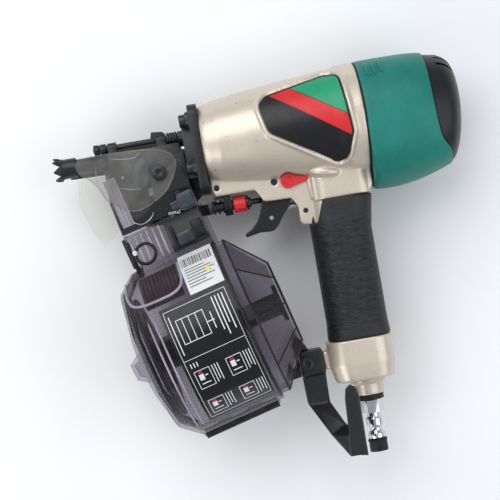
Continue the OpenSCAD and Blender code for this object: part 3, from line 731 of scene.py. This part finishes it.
# black end cover: a shallow dome whose rim follows the seam
dome = []
for fx, sh in ((-6.0, 12.0), (-0.15, 2.6), (0.05, 1.7), (0.6, 1.35)):
    ring = []
    for t in angs:
        y0_, z0_ = cap_section(257, t)
        ring.append((seam_x(y0_) + fx, *cap_section(seam_x(y0_), t, sh)))
    dome.append(ring)
NR = 22
for k in range(1, NR + 1):
    q = k / NR
    ring = []
    for t in angs:
        y0_, z0_ = cap_section(257, t)
        xs_ = seam_x(y0_) + 0.6
        ye, ze = cap_section(seam_x(y0_), t, 1.35)
        cy = -4.0
        s = 1 - q
        yy, zz = cy + (ye - cy) * s, ze * s
        # height of the dome: steep at its rim, flat at its middle
        far = 274.75 - 0.0045 * (yy - 4) ** 2 - 0.0055 * zz ** 2
        hgt = (1 - s ** 9) ** 0.55
        ring.append((xs_ + (far - xs_) * hgt, yy, zz))
    dome.append(ring)
dome = dome[:-1]
cover = lofted("exhaust_dome", "black_plastic", "housing", ("exhaust_cover",), dome)

# exhaust slots cut through the dome's upper side
cutters = bmesh.new()
for a in (-44, -30, -16, 0, 16, 30, 44):
    ca, sa = math.cos(math.radians(a)), math.sin(math.radians(a))
    hw = 1.25
    vs = []
    for x in (259.5, 270.8):
        for y, z in ((20, -hw), (46, -hw), (46, hw), (20, hw)):
            vs.append((x, y * ca - z * sa, y * sa + z * ca))
    add_mesh(cutters, vs, [(0, 1, 2, 3), (7, 6, 5, 4), (0, 4, 5, 1), (1, 5, 6, 2), (2, 6, 7, 3), (3, 7, 4, 0)])
bmesh.ops.recalc_face_normals(cutters, faces=cutters.faces)
cme = bpy.data.meshes.new("slot_cutters"); cutters.to_mesh(cme); cutters.free()
cob = bpy.data.objects.new("slot_cutters", cme)
scene.collection.objects.link(cob)


def carve(obj, tool, op="DIFFERENCE"):
    md = obj.modifiers.new("carve", "BOOLEAN")
    md.operation = op
    md.solver = "EXACT"
    md.object = tool
    dg = bpy.context.evaluated_depsgraph_get()
    out = bpy.data.meshes.new_from_object(obj.evaluated_get(dg))
    obj.modifiers.clear()
    mats = [m for m in obj.data.materials]
    obj.data = out
    if not out.materials:
        for m in mats:
            out.materials.append(m)


carve(cover, cob)
cover.data.set_sharp_from_angle(angle=math.radians(38))
bpy.data.objects.remove(cob)

# dark joint between housing and cap
v, f = tube_mesh([(205.45, 38.95 * math.cos(t), 38.95 * math.sin(t)) for t in angs], 0.42, 6, True)
piece("gasket_edge", v, f, "seal_rubber", "housing")


# ---------------------------------------------------------------- handle, trigger and hook: mould and casting radii
soften("trigger", 0.5, 4)
soften("mode_lever", 0.34, 3)
soften("belt_hook", 0.8, 5)
soften("magazine_bracket", 0.6, 3)
soften("handle_end_cap", 0.75, 4)
soften("door_latch", 0.4, 4)
soften("depth_adjuster", 0.4, 1)


def grip_extra(bm):
    # lip at the lower end, deeper at the back than at the front
    pts = [(158.4, -143.5), (161.4, -147.0), (167.6, -152.4), (198.2, -152.4), (199.9, -149.6), (199.6, -138.0), (158.2, -138.0)]
    v, f = extrude_poly(pts, -14.6, 14.6)
    add_mesh(bm, v, f)


grip = soften("grip_sleeve", 0.85, 7)
notch = bmesh.new()
for za, zb in ((11.0, 30.0), (-30.0, -11.0)):
    v, f = extrude_poly([(140, -38), (170.2, -38), (170.2, -44.2), (168.8, -50.4), (163.0, -66.4), (160.6, -68.2), (140, -69)], za, zb)
    add_mesh(notch, v, f)
bmesh.ops.recalc_face_normals(notch, faces=notch.faces)
nme = bpy.data.meshes.new("grip_notch")
notch.to_mesh(nme)
notch.free()
nob = bpy.data.objects.new("grip_notch", nme)
scene.collection.objects.link(nob)
carve(grip, nob)
grip.data.set_sharp_from_angle(angle=math.radians(45))
bpy.data.objects.remove(nob)


# ---------------------------------------------------------------- wound springs
def spring(name, node, mat, path, r, joint=None, sides=8):
    v, f = tube_mesh(path, r, sides)
    o = piece(name, v, f, mat, BODY[node], rep=(node,))
    if joint:
        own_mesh(o)
    return o


spring("arm_spring_wire", "arm_spring", "black_steel", helix(93.1, 104.8, 4.5, 0.55, 4, "x", -44.5, 0), 0.55, "contact_arm_slide")
spring("feeder_spring_wire", "feeder_spring", "spring_steel", helix(-45.8, -30.0, 4.8, 0.5, 4, "y", 52, -25), 0.5, "feeder_slide")
spring("head_valve_spring_wire", "head_valve_spring", "spring_steel", helix(228.1, 235.9, 26.5, 0.6, 3, "x", 0, 0, 56), 0.6, "head_valve_slide")
spring("trigger_spring_wire", "trigger_spring", "spring_steel", helix(-3.7, 3.7, 2.72, 0.4, 7, "z", 137.8, -34, 24), 0.4)


# ---------------------------------------------------------------- nose
def crown():
    """Contact tip: a sleeve that flares into a ring of sharp teeth."""
    prof = [(4.0, 6.55), (3.9, 6.9), (-4.5, 6.95), (-6.5, 7.3), (-8.6, 8.0), (-10.2, 8.35)]
    n = 160
    vs, fs = [], []

    def tooth(a):
        t = (a / (2 * math.pi) * 7 + 0.5) % 1
        return 1 - abs(2 * t - 1)
    rows = []
    for x, r in prof:
        rows.append([(x, r, 0.0) for _ in range(n)])
    edge_out, edge_in = [], []
    for i in range(n):
        a = 2 * math.pi * i / n
        h = tooth(a)
        x = -7.0 - 4.95 * h ** 0.9
        edge_out.append((x, 7.9 + 0.65 * h, 0.0))
        edge_in.append((x + 0.25, 6.9 + 0.2 * h, 0.0))
    for j, (x, r) in enumerate(prof[3:], 3):
        rows[j] = [(max(x, edge_out[i][0] + 0.2 * (5 - j) + 0.05), r, 0.0) for i in range(n)]
    rows.append(edge_out)
    rows.append(edge_in)
    rows += [[(-5.0, 5.75, 0.0)] * n, [(3.9, 5.72, 0.0)] * n]
    for row in rows:
        for i in range(n):
            a = 2 * math.pi * i / n
            vs.append((row[i][0], row[i][1] * math.cos(a), row[i][1] * math.sin(a)))
    m = len(rows)
    for j in range(m):
        for i in range(n):
            a, b = j * n + i, j * n + (i + 1) % n
            c, d = ((j + 1) % m) * n + (i + 1) % n, ((j + 1) % m) * n + i
            fs.append((a, b, c, d))
    return vs, fs


v, f = crown()
piece("contact_crown", v, f, "black_steel", "contact_arm", angle=30)
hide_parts("contact_tip")
# lug that carries the arm under the crown
v, f = extrude_poly([(-2.8, -6.3), (4, -6.3), (4, -1.8), (-2.8, -1.8)], -10.95, -5.9)
piece("contact_lug", v, f, "black_steel", "contact_arm", smooth=False)

from mathutils.geometry import delaunay_2d_cdt


def chaikin(pts, n=2):
    for _ in range(n):
        out = []
        for i in range(len(pts)):
            a, b = pts[i], pts[(i + 1) % len(pts)]
            out.append((a[0] * 0.75 + b[0] * 0.25, a[1] * 0.75 + b[1] * 0.25))
            out.append((a[0] * 0.25 + b[0] * 0.75, a[1] * 0.25 + b[1] * 0.75))
        pts = out
    return pts


def inside(p, poly):
    r = False
    for i in range(len(poly)):
        (x1, y1), (x2, y2) = poly[i], poly[i - 1]
        if (y1 > p[1]) != (y2 > p[1]) and p[0] < (x2 - x1) * (p[1] - y1) / (y2 - y1) + x1:
            r = not r
    return r


def sheet_piece(name, outline, holes, step, zf, thick, mat, body, matrix=None, rep=(), angle=50):
    """A thin moulded sheet with an outline and holes, its height given by zf(x, y)."""
    loops = [outline] + list(holes)
    co, edges = [], []
    for lp in loops:
        s = len(co)
        lp = resample(lp, step)
        co += [Vector(p) for p in lp]
        edges += [(s + i, s + (i + 1) % len(lp)) for i in range(len(lp))]
    x0, x1 = min(p[0] for p in outline), max(p[0] for p in outline)
    y0, y1 = min(p[1] for p in outline), max(p[1] for p in outline)
    i = 0
    y = y0 + step * 0.5
    while y < y1:
        x = x0 + step * (0.5 if i % 2 else 1.0)
        while x < x1:
            if inside((x, y), outline) and not any(inside((x, y), h) for h in holes):
                if min((Vector((x, y)) - c).length for c in co[:len(co)]) > step * 0.45:
                    co.append(Vector((x, y)))
            x += step
        y += step * 0.87
        i += 1
    vv, ee, ff = delaunay_2d_cdt(co, edges, [], 0, 1e-5)[:3]
    keep = []
    for t in ff:
        c = sum((vv[k] for k in t), Vector((0, 0))) / 3
        if inside((c.x, c.y), outline) and not any(inside((c.x, c.y), h) for h in holes):
            keep.append(tuple(t))
    bm = bmesh.new()
    vs = []
    for p in vv:
        q = Vector((p.x, p.y, zf(p.x, p.y)))
        if matrix is not None:
            q = matrix @ q
        vs.append(bm.verts.new(q * S))
    for t in keep:
        try:
            bm.faces.new([vs[k] for k in t])
        except ValueError:
            pass
    bmesh.ops.delete(bm, geom=[v_ for v_ in bm.verts if not v_.link_faces], context="VERTS")
    bmesh.ops.recalc_face_normals(bm, faces=bm.faces)
    bm.normal_update()
    if sum(f_.normal.z for f_ in bm.faces) < 0:
        bmesh.ops.reverse_faces(bm, faces=bm.faces)
    return finish_bm(name, bm, mat, body, [("SOLIDIFY", {"thickness": thick * S, "offset": -1.0, "use_even_offset": False})], rep=rep, angle=angle)


def disc(cx, cy, r, n=28):
    return [(cx + r * math.cos(2 * math.pi * i / n), cy + r * math.sin(2 * math.pi * i / n)) for i in range(n)]


cover_line = [(4.6, 4.2), (4.2, -3), (7.0, -7.6), (13.3, -11.6), (18.4, -19.0), (21.0, -26.8), (24.2, -28.4), (31, -33.6), (37.7, -38.0), (46, -37.4), (61.2, -29.4), (66.4, -24), (73.4, -11.4), (72.4, -3.6), (64, 1.6), (51.9, 3.6), (30, 4.4)]


def cover_z(x, y):
    z = 10.6 + 1.3 * math.exp(-((x - 47) ** 2 / 260 + (y + 13) ** 2 / 130))
    z += 0.6 * math.exp(-((x - 22) ** 2 / 90 + (y + 6) ** 2 / 40))
    z -= 1.1 * max(0, (16 - x) / 12) ** 1.5
    z += 0.25 * noise.noise(Vector((x * 0.09, y * 0.09, 3.1)))
    d = math.hypot(x - 60.6, y + 14.5)
    return z * (1 - math.exp(-(d / 9) ** 4)) + 11.5 * math.exp(-(d / 9) ** 4)


sheet_piece("nose_cover_sheet", chaikin(cover_line, 2), [disc(60.6, -14.5, 2.2)], 1.7, cover_z, 1.1, "clear_soft_plastic", "nose_door", rep=("clear_nose_cover",))
# spacer under the cover's screw
v, f = tube_mesh([(60.6, -14.5, 8.9), (60.6, -14.5, 10.3)], 4.4, 32)
piece("nose_cover_spacer", v, f, "black_steel", "nose_door")
# bead along the edge of the cover
bead = chaikin(cover_line, 2)
bead = [(x, y, cover_z(x, y) - 0.45) for x, y in resample(bead, 2.0)]
v, f = tube_mesh(bead, 0.62, 8, True)
piece("nose_cover_bead", v, f, "clear_soft_plastic", "nose_door")
# creases pressed into the cover, drawn as thin tubes in the lighter rib plastic: painted highlights along the folds
for i, line in enumerate((((27.5, 1.1), (33, -0.2), (37.9, -0.9), (43, -1.4), (46.3, -0.8), (49.9, 2.0)),
                          ((18.0, -2.6), (17.3, -8), (17.1, -13.1), (18.4, -18.4)),
                          ((31.5, -20.0), (37, -21.8), (42, -22.8), (46.5, -23.4)))):
    v, f = tube_mesh([(x, y, cover_z(x, y) - 0.05) for x, y in line], lambda t: 0.26 * min(1, 5 * t + 0.3, 5 * (1 - t) + 0.3), 8)
    piece(f"nose_cover_crease_highlight_{i}", v, f, "rib_plastic", "nose_door")

# rounded housing of the pusher pawl under the clear cover
v, f = ellipsoid(48.2, -12.5, 7.0, 6.6, 12.2, 2.9, -14, 36, 18)
piece("pawl_housing", v, f, "latch_plastic", "nose_door")
for (x, y, r, h) in ((33.5, -6.2, 2.0, 8.1), (44.5, -32.5, 1.9, 8.2), (70.5, -30.0, 1.7, 9.8)):
    v, f = tube_mesh([(x, y, 6.4), (x, y, h)], r, 24)
    piece(f"door_rivet_{int(x)}", v, f, "black_steel", "nose_door", angle=30)

# clear guide strip down the front of the door
strip_m = Matrix.Translation((20.2, -12.0, 0)) @ Matrix.Rotation(math.radians(14.5), 4, "Z")
prof = []
for i in range(29):
    x = 8.6 * i / 28
    prof.append((x, 8.3 + 0.55 * math.cos(x * math.pi * 2 / 2.87)))
ringsv, fs = [], []
for y in (-37.5, -2.0):
    for x, z in prof:
        ringsv.append((x, y, z))
    for x, z in reversed(prof):
        ringsv.append((x, y, 7.15))
n = len(prof) * 2
fs = [(i, (i + 1) % n, n + (i + 1) % n, n + i) for i in range(n)] + [tuple(reversed(range(n))), tuple(range(n, 2 * n))]
piece("guide_strip", ringsv, fs, "rib_plastic", "nose_door", matrix=strip_m, angle=30)

# thumb tab, wire bail and little return spring on the door
v, f = extrude_poly([(58.2, 10.2), (59.4, 14.6), (66.8, 13.9), (68.9, 12.0), (69.0, 9.4), (66, 8.6), (60, 8.9)], 4.6, 6.4)
o = piece("rod_tab", v, f, "black_steel", "housing", smooth=False)
bail = [(34.8, -39.4, 9.9), (36.0, -42.8, 11.4), (39.2, -46.2, 12.4), (43.0, -47.5, 12.7), (47.4, -46.0, 12.4), (50.6, -43.2, 11.2), (52.0, -40.6, 9.8)]


def spline(pts, n=8):
    out = []
    for i in range(len(pts) - 1):
        p0, p1, p2, p3 = (Vector(pts[max(0, i - 1)]), Vector(pts[i]), Vector(pts[i + 1]), Vector(pts[min(len(pts) - 1, i + 2)]))
        for k in range(n):
            t = k / n
            out.append(0.5 * ((2 * p1) + (p2 - p0) * t + (2 * p0 - 5 * p1 + 4 * p2 - p3) * t * t + (3 * p1 - p0 - 3 * p2 + p3) * t ** 3))
    out.append(Vector(pts[-1]))
    return out


v, f = tube_mesh(spline(bail), 0.45, 8)
piece("door_bail", v, f, "bright_steel", "nose_door")
v, f = tube_mesh(helix(62.4, 70.6, 1.55, 0.3, 7, "x", -43.4, 12.3, 20), 0.3, 8)
piece("latch_spring", v, f, "bright_steel", "nose_door")

# rounded shoulders cast on the nose plate's flange
for y, z in ((17.6, 15.5), (-15.4, 15.5), (17.6, -15.5), (-15.4, -15.5)):
    v, f = tube_mesh([(84.6, y, z), (87.2, y, z)], lambda t: 5.4 + 0.9 * t, 32)
    piece(f"flange_boss_{'t' if y > 0 else 'b'}{'l' if z > 0 else 'r'}", v, f, "nose_casting", "housing", angle=35)


# ---------------------------------------------------------------- magazine
def shell_r(lx):
    """Outside radius of the drum at a place along its axis."""
    if lx < -33:
        return 25 + (50 - 25) * (lx + 38.6) / 5.6
    if lx < -21:
        return 50 + 10 * (lx + 33) / 12
    return 60.0


def on_drum(lx, ly, lift=0.0):
    r = shell_r(lx) + lift
    return (lx, ly, DRUM_Z + math.sqrt(max(0.0, r * r - ly * ly)))


def neck_top(ly):
    return 15.0 if ly < 66 else (15.0 - 4.5 * (ly - 66) / 14 if ly < 80 else 10.5)


# dark flange round the parting line of the two shells
bm = grab("magazine_cover")
cut = bmesh.ops.bisect_plane(bm, geom=bm.verts[:] + bm.edges[:] + bm.faces[:], plane_co=(0, 0, 0.0048), plane_no=(0, 0, 1), dist=1e-7)
es = [e for e in cut["geom_cut"] if isinstance(e, bmesh.types.BMEdge)]
adj = {}
for e in es:
    a, b = e.verts
    adj.setdefault(a, []).append(b)
    adj.setdefault(b, []).append(a)
loops, seen = [], set()
for s in adj:
    if s in seen:
        continue
    lp, cur, prev = [s], s, None
    seen.add(s)
    while True:
        nxt = [q for q in adj[cur] if q not in seen]
        if not nxt:
            break
        cur = nxt[0]
        seen.add(cur)
        lp.append(cur)
    loops.append([(v_.co.x / S, v_.co.y / S) for v_ in lp])
bm.free()


def loop_area(lp):
    return abs(sum(lp[i][0] * lp[(i + 1) % len(lp)][1] - lp[(i + 1) % len(lp)][0] * lp[i][1] for i in range(len(lp))) / 2)


loops.sort(key=loop_area, reverse=True)
outer = resample(loops[0], 3.0)
INV = MAG.inverted()
# left open along the hinge, where the leaves are, and at the mouth of the neck
local = [INV @ Vector((x, y, 4.8)) for x, y in outer]
runs, run = [], []
start = next((i for i, p in enumerate(local) if p.y > 84.0), 0)
order = local[start:] + local[:start]
for p in order:
    ok = p.y < 83.4 and not (p.y < -55 and -24 < p.x < 38) and p.x < 38.8
    if ok:
        run.append(p)
    elif run:
        runs.append(run); run = []
if run:
    runs.append(run)
for i, r_ in enumerate([r_ for r_ in runs if len(r_) > 6]):
    for nm, z, body in (("cover", 5.4, "magazine_cover"), ("body", 2.5, "housing")):
        v, f = tube_mesh([(p.x, p.y, z) for p in r_], 1.3, 10)
        piece(f"seam_{nm}_{i}", v, f, "black_plastic", body, matrix=MAG)

# ribs on the neck, a ring and its tab
for i, lx in enumerate((-13.6, -9.2, -4.8, -0.4, 4.0, 8.4)):
    path = [(lx, ly, neck_top(ly) + 0.15) for ly in [60.6 + 23.0 * k / 16 for k in range(17)]]
    v, f = tube_mesh(path, lambda t: 1.0 * min(1, 8 * t + 0.3, 8 * (1 - t) + 0.3), 10)
    piece(f"neck_rib_{i}", v, f, "rib_plastic", "magazine_cover", matrix=MAG)
ring = [(-6.8 + 7.0 * math.cos(t), 68.6 + 7.0 * math.sin(t), neck_top(68.6 + 7.0 * math.sin(t)) + 0.9) for t in [2 * math.pi * k / 48 for k in range(48)]]
v, f = tube_mesh(ring, 1.15, 12, True)
piece("neck_ring", v, f, "seal_rubber", "magazine_cover", matrix=MAG)
v, f = extrude_poly(chaikin([(-15.0, 70.2), (-12.0, 70.2), (-12.0, 73.6), (-15.0, 73.6)], 1), 14.6, 16.2)
piece("neck_tab", v, f, "label_print", "magazine_cover", matrix=MAG, smooth=False)

# opaque plate over the right half of the neck
pts = []
lys = [60.8, 63.5, 66, 69, 73, 77, 80, 83.8]
for ly in lys:
    pts.append((ly, neck_top(ly) + 1.5))
for ly in reversed(lys):
    pts.append((ly, neck_top(ly) + 0.05))
n = len(pts)
vs = [(12.0, y, z) for y, z in pts] + [(38.6, y, z) for y, z in pts]
fs = [(i, (i + 1) % n, n + (i + 1) % n, n + i) for i in range(n)] + [tuple(reversed(range(n))), tuple(range(n, 2 * n))]
piece("neck_plate", vs, fs, "black_plastic", "magazine_cover", matrix=MAG, angle=30)
for nm, (xa, xb, ya, yb, za, zb), mt in (
        ("neck_block_a", (17.6, 28.6, 63.0, 72.4, 15.2, 19.0), "latch_plastic"),
        ("neck_block_b", (29.6, 37.4, 64.0, 76.4, 14.0, 17.4), "black_plastic"),
        ("neck_block_c", (14.4, 17.2, 61.4, 79.0, 13.0, 17.0), "black_plastic")):
    bm = bmesh.new()
    v, f = extrude_poly([(xa, ya), (xb, ya), (xb, yb), (xa, yb)], za, zb)
    add_mesh(bm, [MAG @ Vector(q) for q in v], f)
    bmesh.ops.recalc_face_normals(bm, faces=bm.faces)
    finish_bm(nm, bm, mt, "magazine_cover", [("BEVEL", {"width": 1.1 * S, "segments": 3, "limit_method": "ANGLE"})], angle=50)

# raised lip round the window of the drum, and the ribbed guide seen through it
lip = spline([(-26.6, 54, 0), (-27.6, 46, 0), (-25.8, 39.6, 0), (-19, 36.6, 0), (-8, 36.0, 0), (3, 36.4, 0), (9.4, 39.4, 0), (11.8, 45.4, 0), (12.0, 53.5, 0)], 6)
v, f = tube_mesh([on_drum(p[0], p[1], 0.25) for p in lip], 0.95, 10)
piece("window_lip", v, f, "rib_plastic", "magazine_cover", matrix=MAG)
vs, fs = [], []
nu, nv = 60, 14
for k, base in enumerate((56.2, 54.9)):
    for i in range(nu + 1):
        lx = -17.5 + 27.0 * i / nu
        for j in range(nv + 1):
            a = math.radians(36 + 37 * j / nv)
            r_ = base + (0.45 * math.cos(lx * 2 * math.pi / 2.6) if k == 0 else 0)
            vs.append((lx, r_ * math.sin(a), DRUM_Z + r_ * math.cos(a)))
m = (nu + 1) * (nv + 1)
for i in range(nu):
    for j in range(nv):
        a = i * (nv + 1) + j
        fs.append((a, a + 1, a + nv + 2, a + nv + 1))
        fs.append((m + a, m + a + nv + 1, m + a + nv + 2, m + a + 1))
for i in range(nu):
    for j in (0, nv):
        a = i * (nv + 1) + j
        fs.append((a, a + nv + 1, m + a + nv + 1, m + a))
for j in range(nv):
    for i in (0, nu):
        a = i * (nv + 1) + j
        fs.append((a, m + a, m + a + 1, a + 1))
piece("drum_guide", vs, fs, "brown_inner", "magazine_cover", matrix=MAG, angle=60)

# long low ribs along the front of the drum
for i, lx in enumerate((-19.6, -15.4)):
    path = [on_drum(lx, 26 - 78 * k / 40, -0.3) for k in range(41)]
    v, f = tube_mesh(path, lambda t: 0.7 * min(1, 12 * t + 0.3, 12 * (1 - t) + 0.3), 8)
    piece(f"drum_rib_{i}", v, f, "rib_plastic", "magazine_cover", matrix=MAG)


# dark rims where the cover's rear edge meets the faceted bowl, and along the bowl's own edges
v, f = tube_mesh([(38.7, 59.0 * math.sin(a), DRUM_Z + 59.0 * math.cos(a)) for a in [math.radians(-71 + 144 * k / 48) for k in range(49)]], 1.15, 10)
piece("cover_rim", v, f, "black_plastic", "magazine_cover", matrix=MAG)
corner = [(math.sin(math.radians(36 * k)), -math.cos(math.radians(36 * k))) for k in range(10)]
for nm, lx, rad, ks in (("wide", 45.6, 57.6, range(2, 9)), ("narrow", 67.0, 30.2, range(0, 11))):
    path = []
    ks = list(ks)
    for a, b in zip(ks, ks[1:]):
        pa, pb = corner[a % 10], corner[b % 10]
        for q in range(6):
            path.append((lx, rad * (pa[0] + (pb[0] - pa[0]) * q / 6), DRUM_Z + rad * (pa[1] + (pb[1] - pa[1]) * q / 6)))
    if nm == "wide":
        path.append((lx, rad * corner[8][0], DRUM_Z + rad * corner[8][1]))
    v, f = tube_mesh(path, 0.8 if nm == "wide" else 0.6, 8, nm == "narrow")
    piece(f"bowl_rim_{nm}", v, f, "black_plastic", "housing", matrix=MAG)
for k in range(3, 8):
    c = corner[k]
    v, f = tube_mesh([(46.2 + 20.6 * q / 5, (57.4 - 27.0 * q / 5) * c[0], DRUM_Z + (57.4 - 27.0 * q / 5) * c[1]) for q in range(6)], 0.5, 8)
    piece(f"bowl_edge_{k}", v, f, "black_plastic", "housing", matrix=MAG)


# printed panel and label: bars, frames and dots only
def print_bars(name, mat, bars, body="magazine_cover", r=60.52, thick=0.10):
    """Thin printed rectangles on the drum. Each bar is (lx0, lx1, s0, s1): s is the distance round the drum from its crest, towards the neck."""
    vs, fs = [], []
    for (xa, xb, sa, sb) in bars:
        k = max(1, int(abs(sb - sa) / 3))
        base = len(vs)
        for rr_ in (r - 0.12, r + thick):
            for i in range(k + 1):
                a = (sa + (sb - sa) * i / k) / 60.5
                for x in (xa, xb):
                    vs.append((x, rr_ * math.sin(a), DRUM_Z + rr_ * math.cos(a)))
        h = 2 * (k + 1)
        for i in range(k):
            q = base + 2 * i
            fs.append((q, q + 1, q + 3, q + 2))
            fs.append((q + h, q + h + 2, q + h + 3, q + h + 1))
            fs.append((q, q + 2, q + 2 + h, q + h))
            fs.append((q + 1, q + 1 + h, q + 3 + h, q + 3))
        q = base
        fs.append((q, q + h, q + h + 1, q + 1))
        q = base + 2 * k
        fs.append((q, q + 1, q + 1 + h, q + h))
    return piece(name, vs, fs, mat, body, matrix=MAG, angle=30)


def frame_bars(xa, xb, sa, sb, t=0.35):
    return [(xa, xb, sa, sa + t), (xa, xb, sb - t, sb), (xa, xa + t, sa + t, sb - t), (xb - t, xb, sa + t, sb - t)]


bars = frame_bars(-8.6, 34.6, -56, 28, 0.3)
bars += [(-8.6, 34.6, -7.0, -6.7)]
# upper field: a plain schematic of a drum and strip, with rules beside it
bars += frame_bars(-3.0, 16.0, 3.0, 20.0, 0.45) + [(1.0, 1.45, 3.5, 19.6), (5.6, 6.05, 3.5, 19.6), (10.4, 10.85, 3.5, 19.6)]
bars += [(16.0, 21.0, 10.5, 11.1), (19.6, 20.2, 5.0, 16.5)]
bars += [(24.0 + 2.4 * i, 24.7 + 2.4 * i, 25.0 - ln, 25.0) for i, ln in enumerate((23, 27, 20, 25))]
bars += [(-6.4, -5.8, -3.0, 24.0)]
# lower field: four picture boxes with rules
for (xa, sa) in ((-5.6, -29.0), (-5.6, -52.5), (16.4, -29.0), (16.4, -52.5)):
    bars += frame_bars(xa, xa + 10.6, sa, sa + 13.5, 0.4)
    bars += [(xa + 2.2, xa + 8.2, sa + 3.2, sa + 3.9), (xa + 2.2, xa + 5.4, sa + 6.2, sa + 10.4), (xa + 6.2, xa + 8.2, sa + 8.4, sa + 9.2)]
    bars += [(xa + 12.2 + 1.9 * i, xa + 12.75 + 1.9 * i, sa + 13.5 - ln, sa + 13.5) for i, ln in enumerate((13, 11, 12.5))]
bars += [(-5.6 + 2.1 * i, -5.0 + 2.1 * i, -12.8, -9.6) for i in range(3)]
print_bars("panel_lines", "print_white", bars)
print_bars("panel_marks", "badge_red", [(xa + 2.6, xa + 5.2, sa + 11.2, sa + 12.4) for xa, sa in ((-5.6, -29.0), (-5.6, -52.5), (16.4, -29.0), (16.4, -52.5))])
print_bars("panel_shade", "print_grey", [(-7.9, 33.9, -55.3, -38.0)], r=60.47, thick=0.06)

lab = []
lx = 14.2
rnd = random.Random(3)
while lx < 35.0:
    w_ = rnd.choice((0.35, 0.35, 0.6, 0.8))
    lab.append((lx, lx + w_, 56.2, 66.0))
    lx += w_ + rnd.choice((0.45, 0.6, 0.8))
lab += [(14.6, 14.6 + ln, s_, s_ + 0.5) for s_, ln in ((52.6, 14), (50.0, 18), (47.4, 20), (44.8, 17), (42.2, 19), (39.6, 12), (37.2, 16))]
print_bars("label_bars", "mark_dark", lab)
dot = []
for k in range(24):
    t = 2 * math.pi * k / 24
    dot.append((29.6 + 1.7 * math.cos(t), 46.2 + 1.7 * math.sin(t)))
vs = []
for rr_ in (60.5, 60.66):
    for x, s_ in dot:
        a = s_ / 60.5
        vs.append((x, rr_ * math.sin(a), DRUM_Z + rr_ * math.cos(a)))
n = len(dot)
fs = [tuple(range(n)), tuple(reversed(range(n, 2 * n)))] + [(i, (i + 1) % n, n + (i + 1) % n, n + i) for i in range(n)]
piece("label_dot", vs, fs, "print_yellow", "magazine_cover", matrix=MAG, smooth=False)


# ---------------------------------------------------------------- every other node: broken edges and its finish
for n in ("nail_guide_door", "nose_body", "arm_guide", "feeder_cylinder", "clear_nail_guard", "hinge_leaf_body", "hinge_leaf_cover",
          "contact_arm", "door_hinge_rod", "hinge_rod_nuts", "nose_screws", "cover_screw", "magazine_seal", "bracket_bolt", "air_plug",
          "inlet_washer", "plug_dust_cap", "nail_tray", "nail_post"):
    bevelled(n, mat="black_steel" if n == "bracket_bolt" else None, width=0.3 if n in ("hinge_rod_nuts", "nose_screws", "air_plug", "cover_screw") else 0.45)
for n, o in N.items():
    if o.hide_render:
        continue
    o.data.materials.clear()
    o.data.materials.append(M["black_steel" if n in ("housing_pins", "trigger_pin") else SLOT[n]])

import json
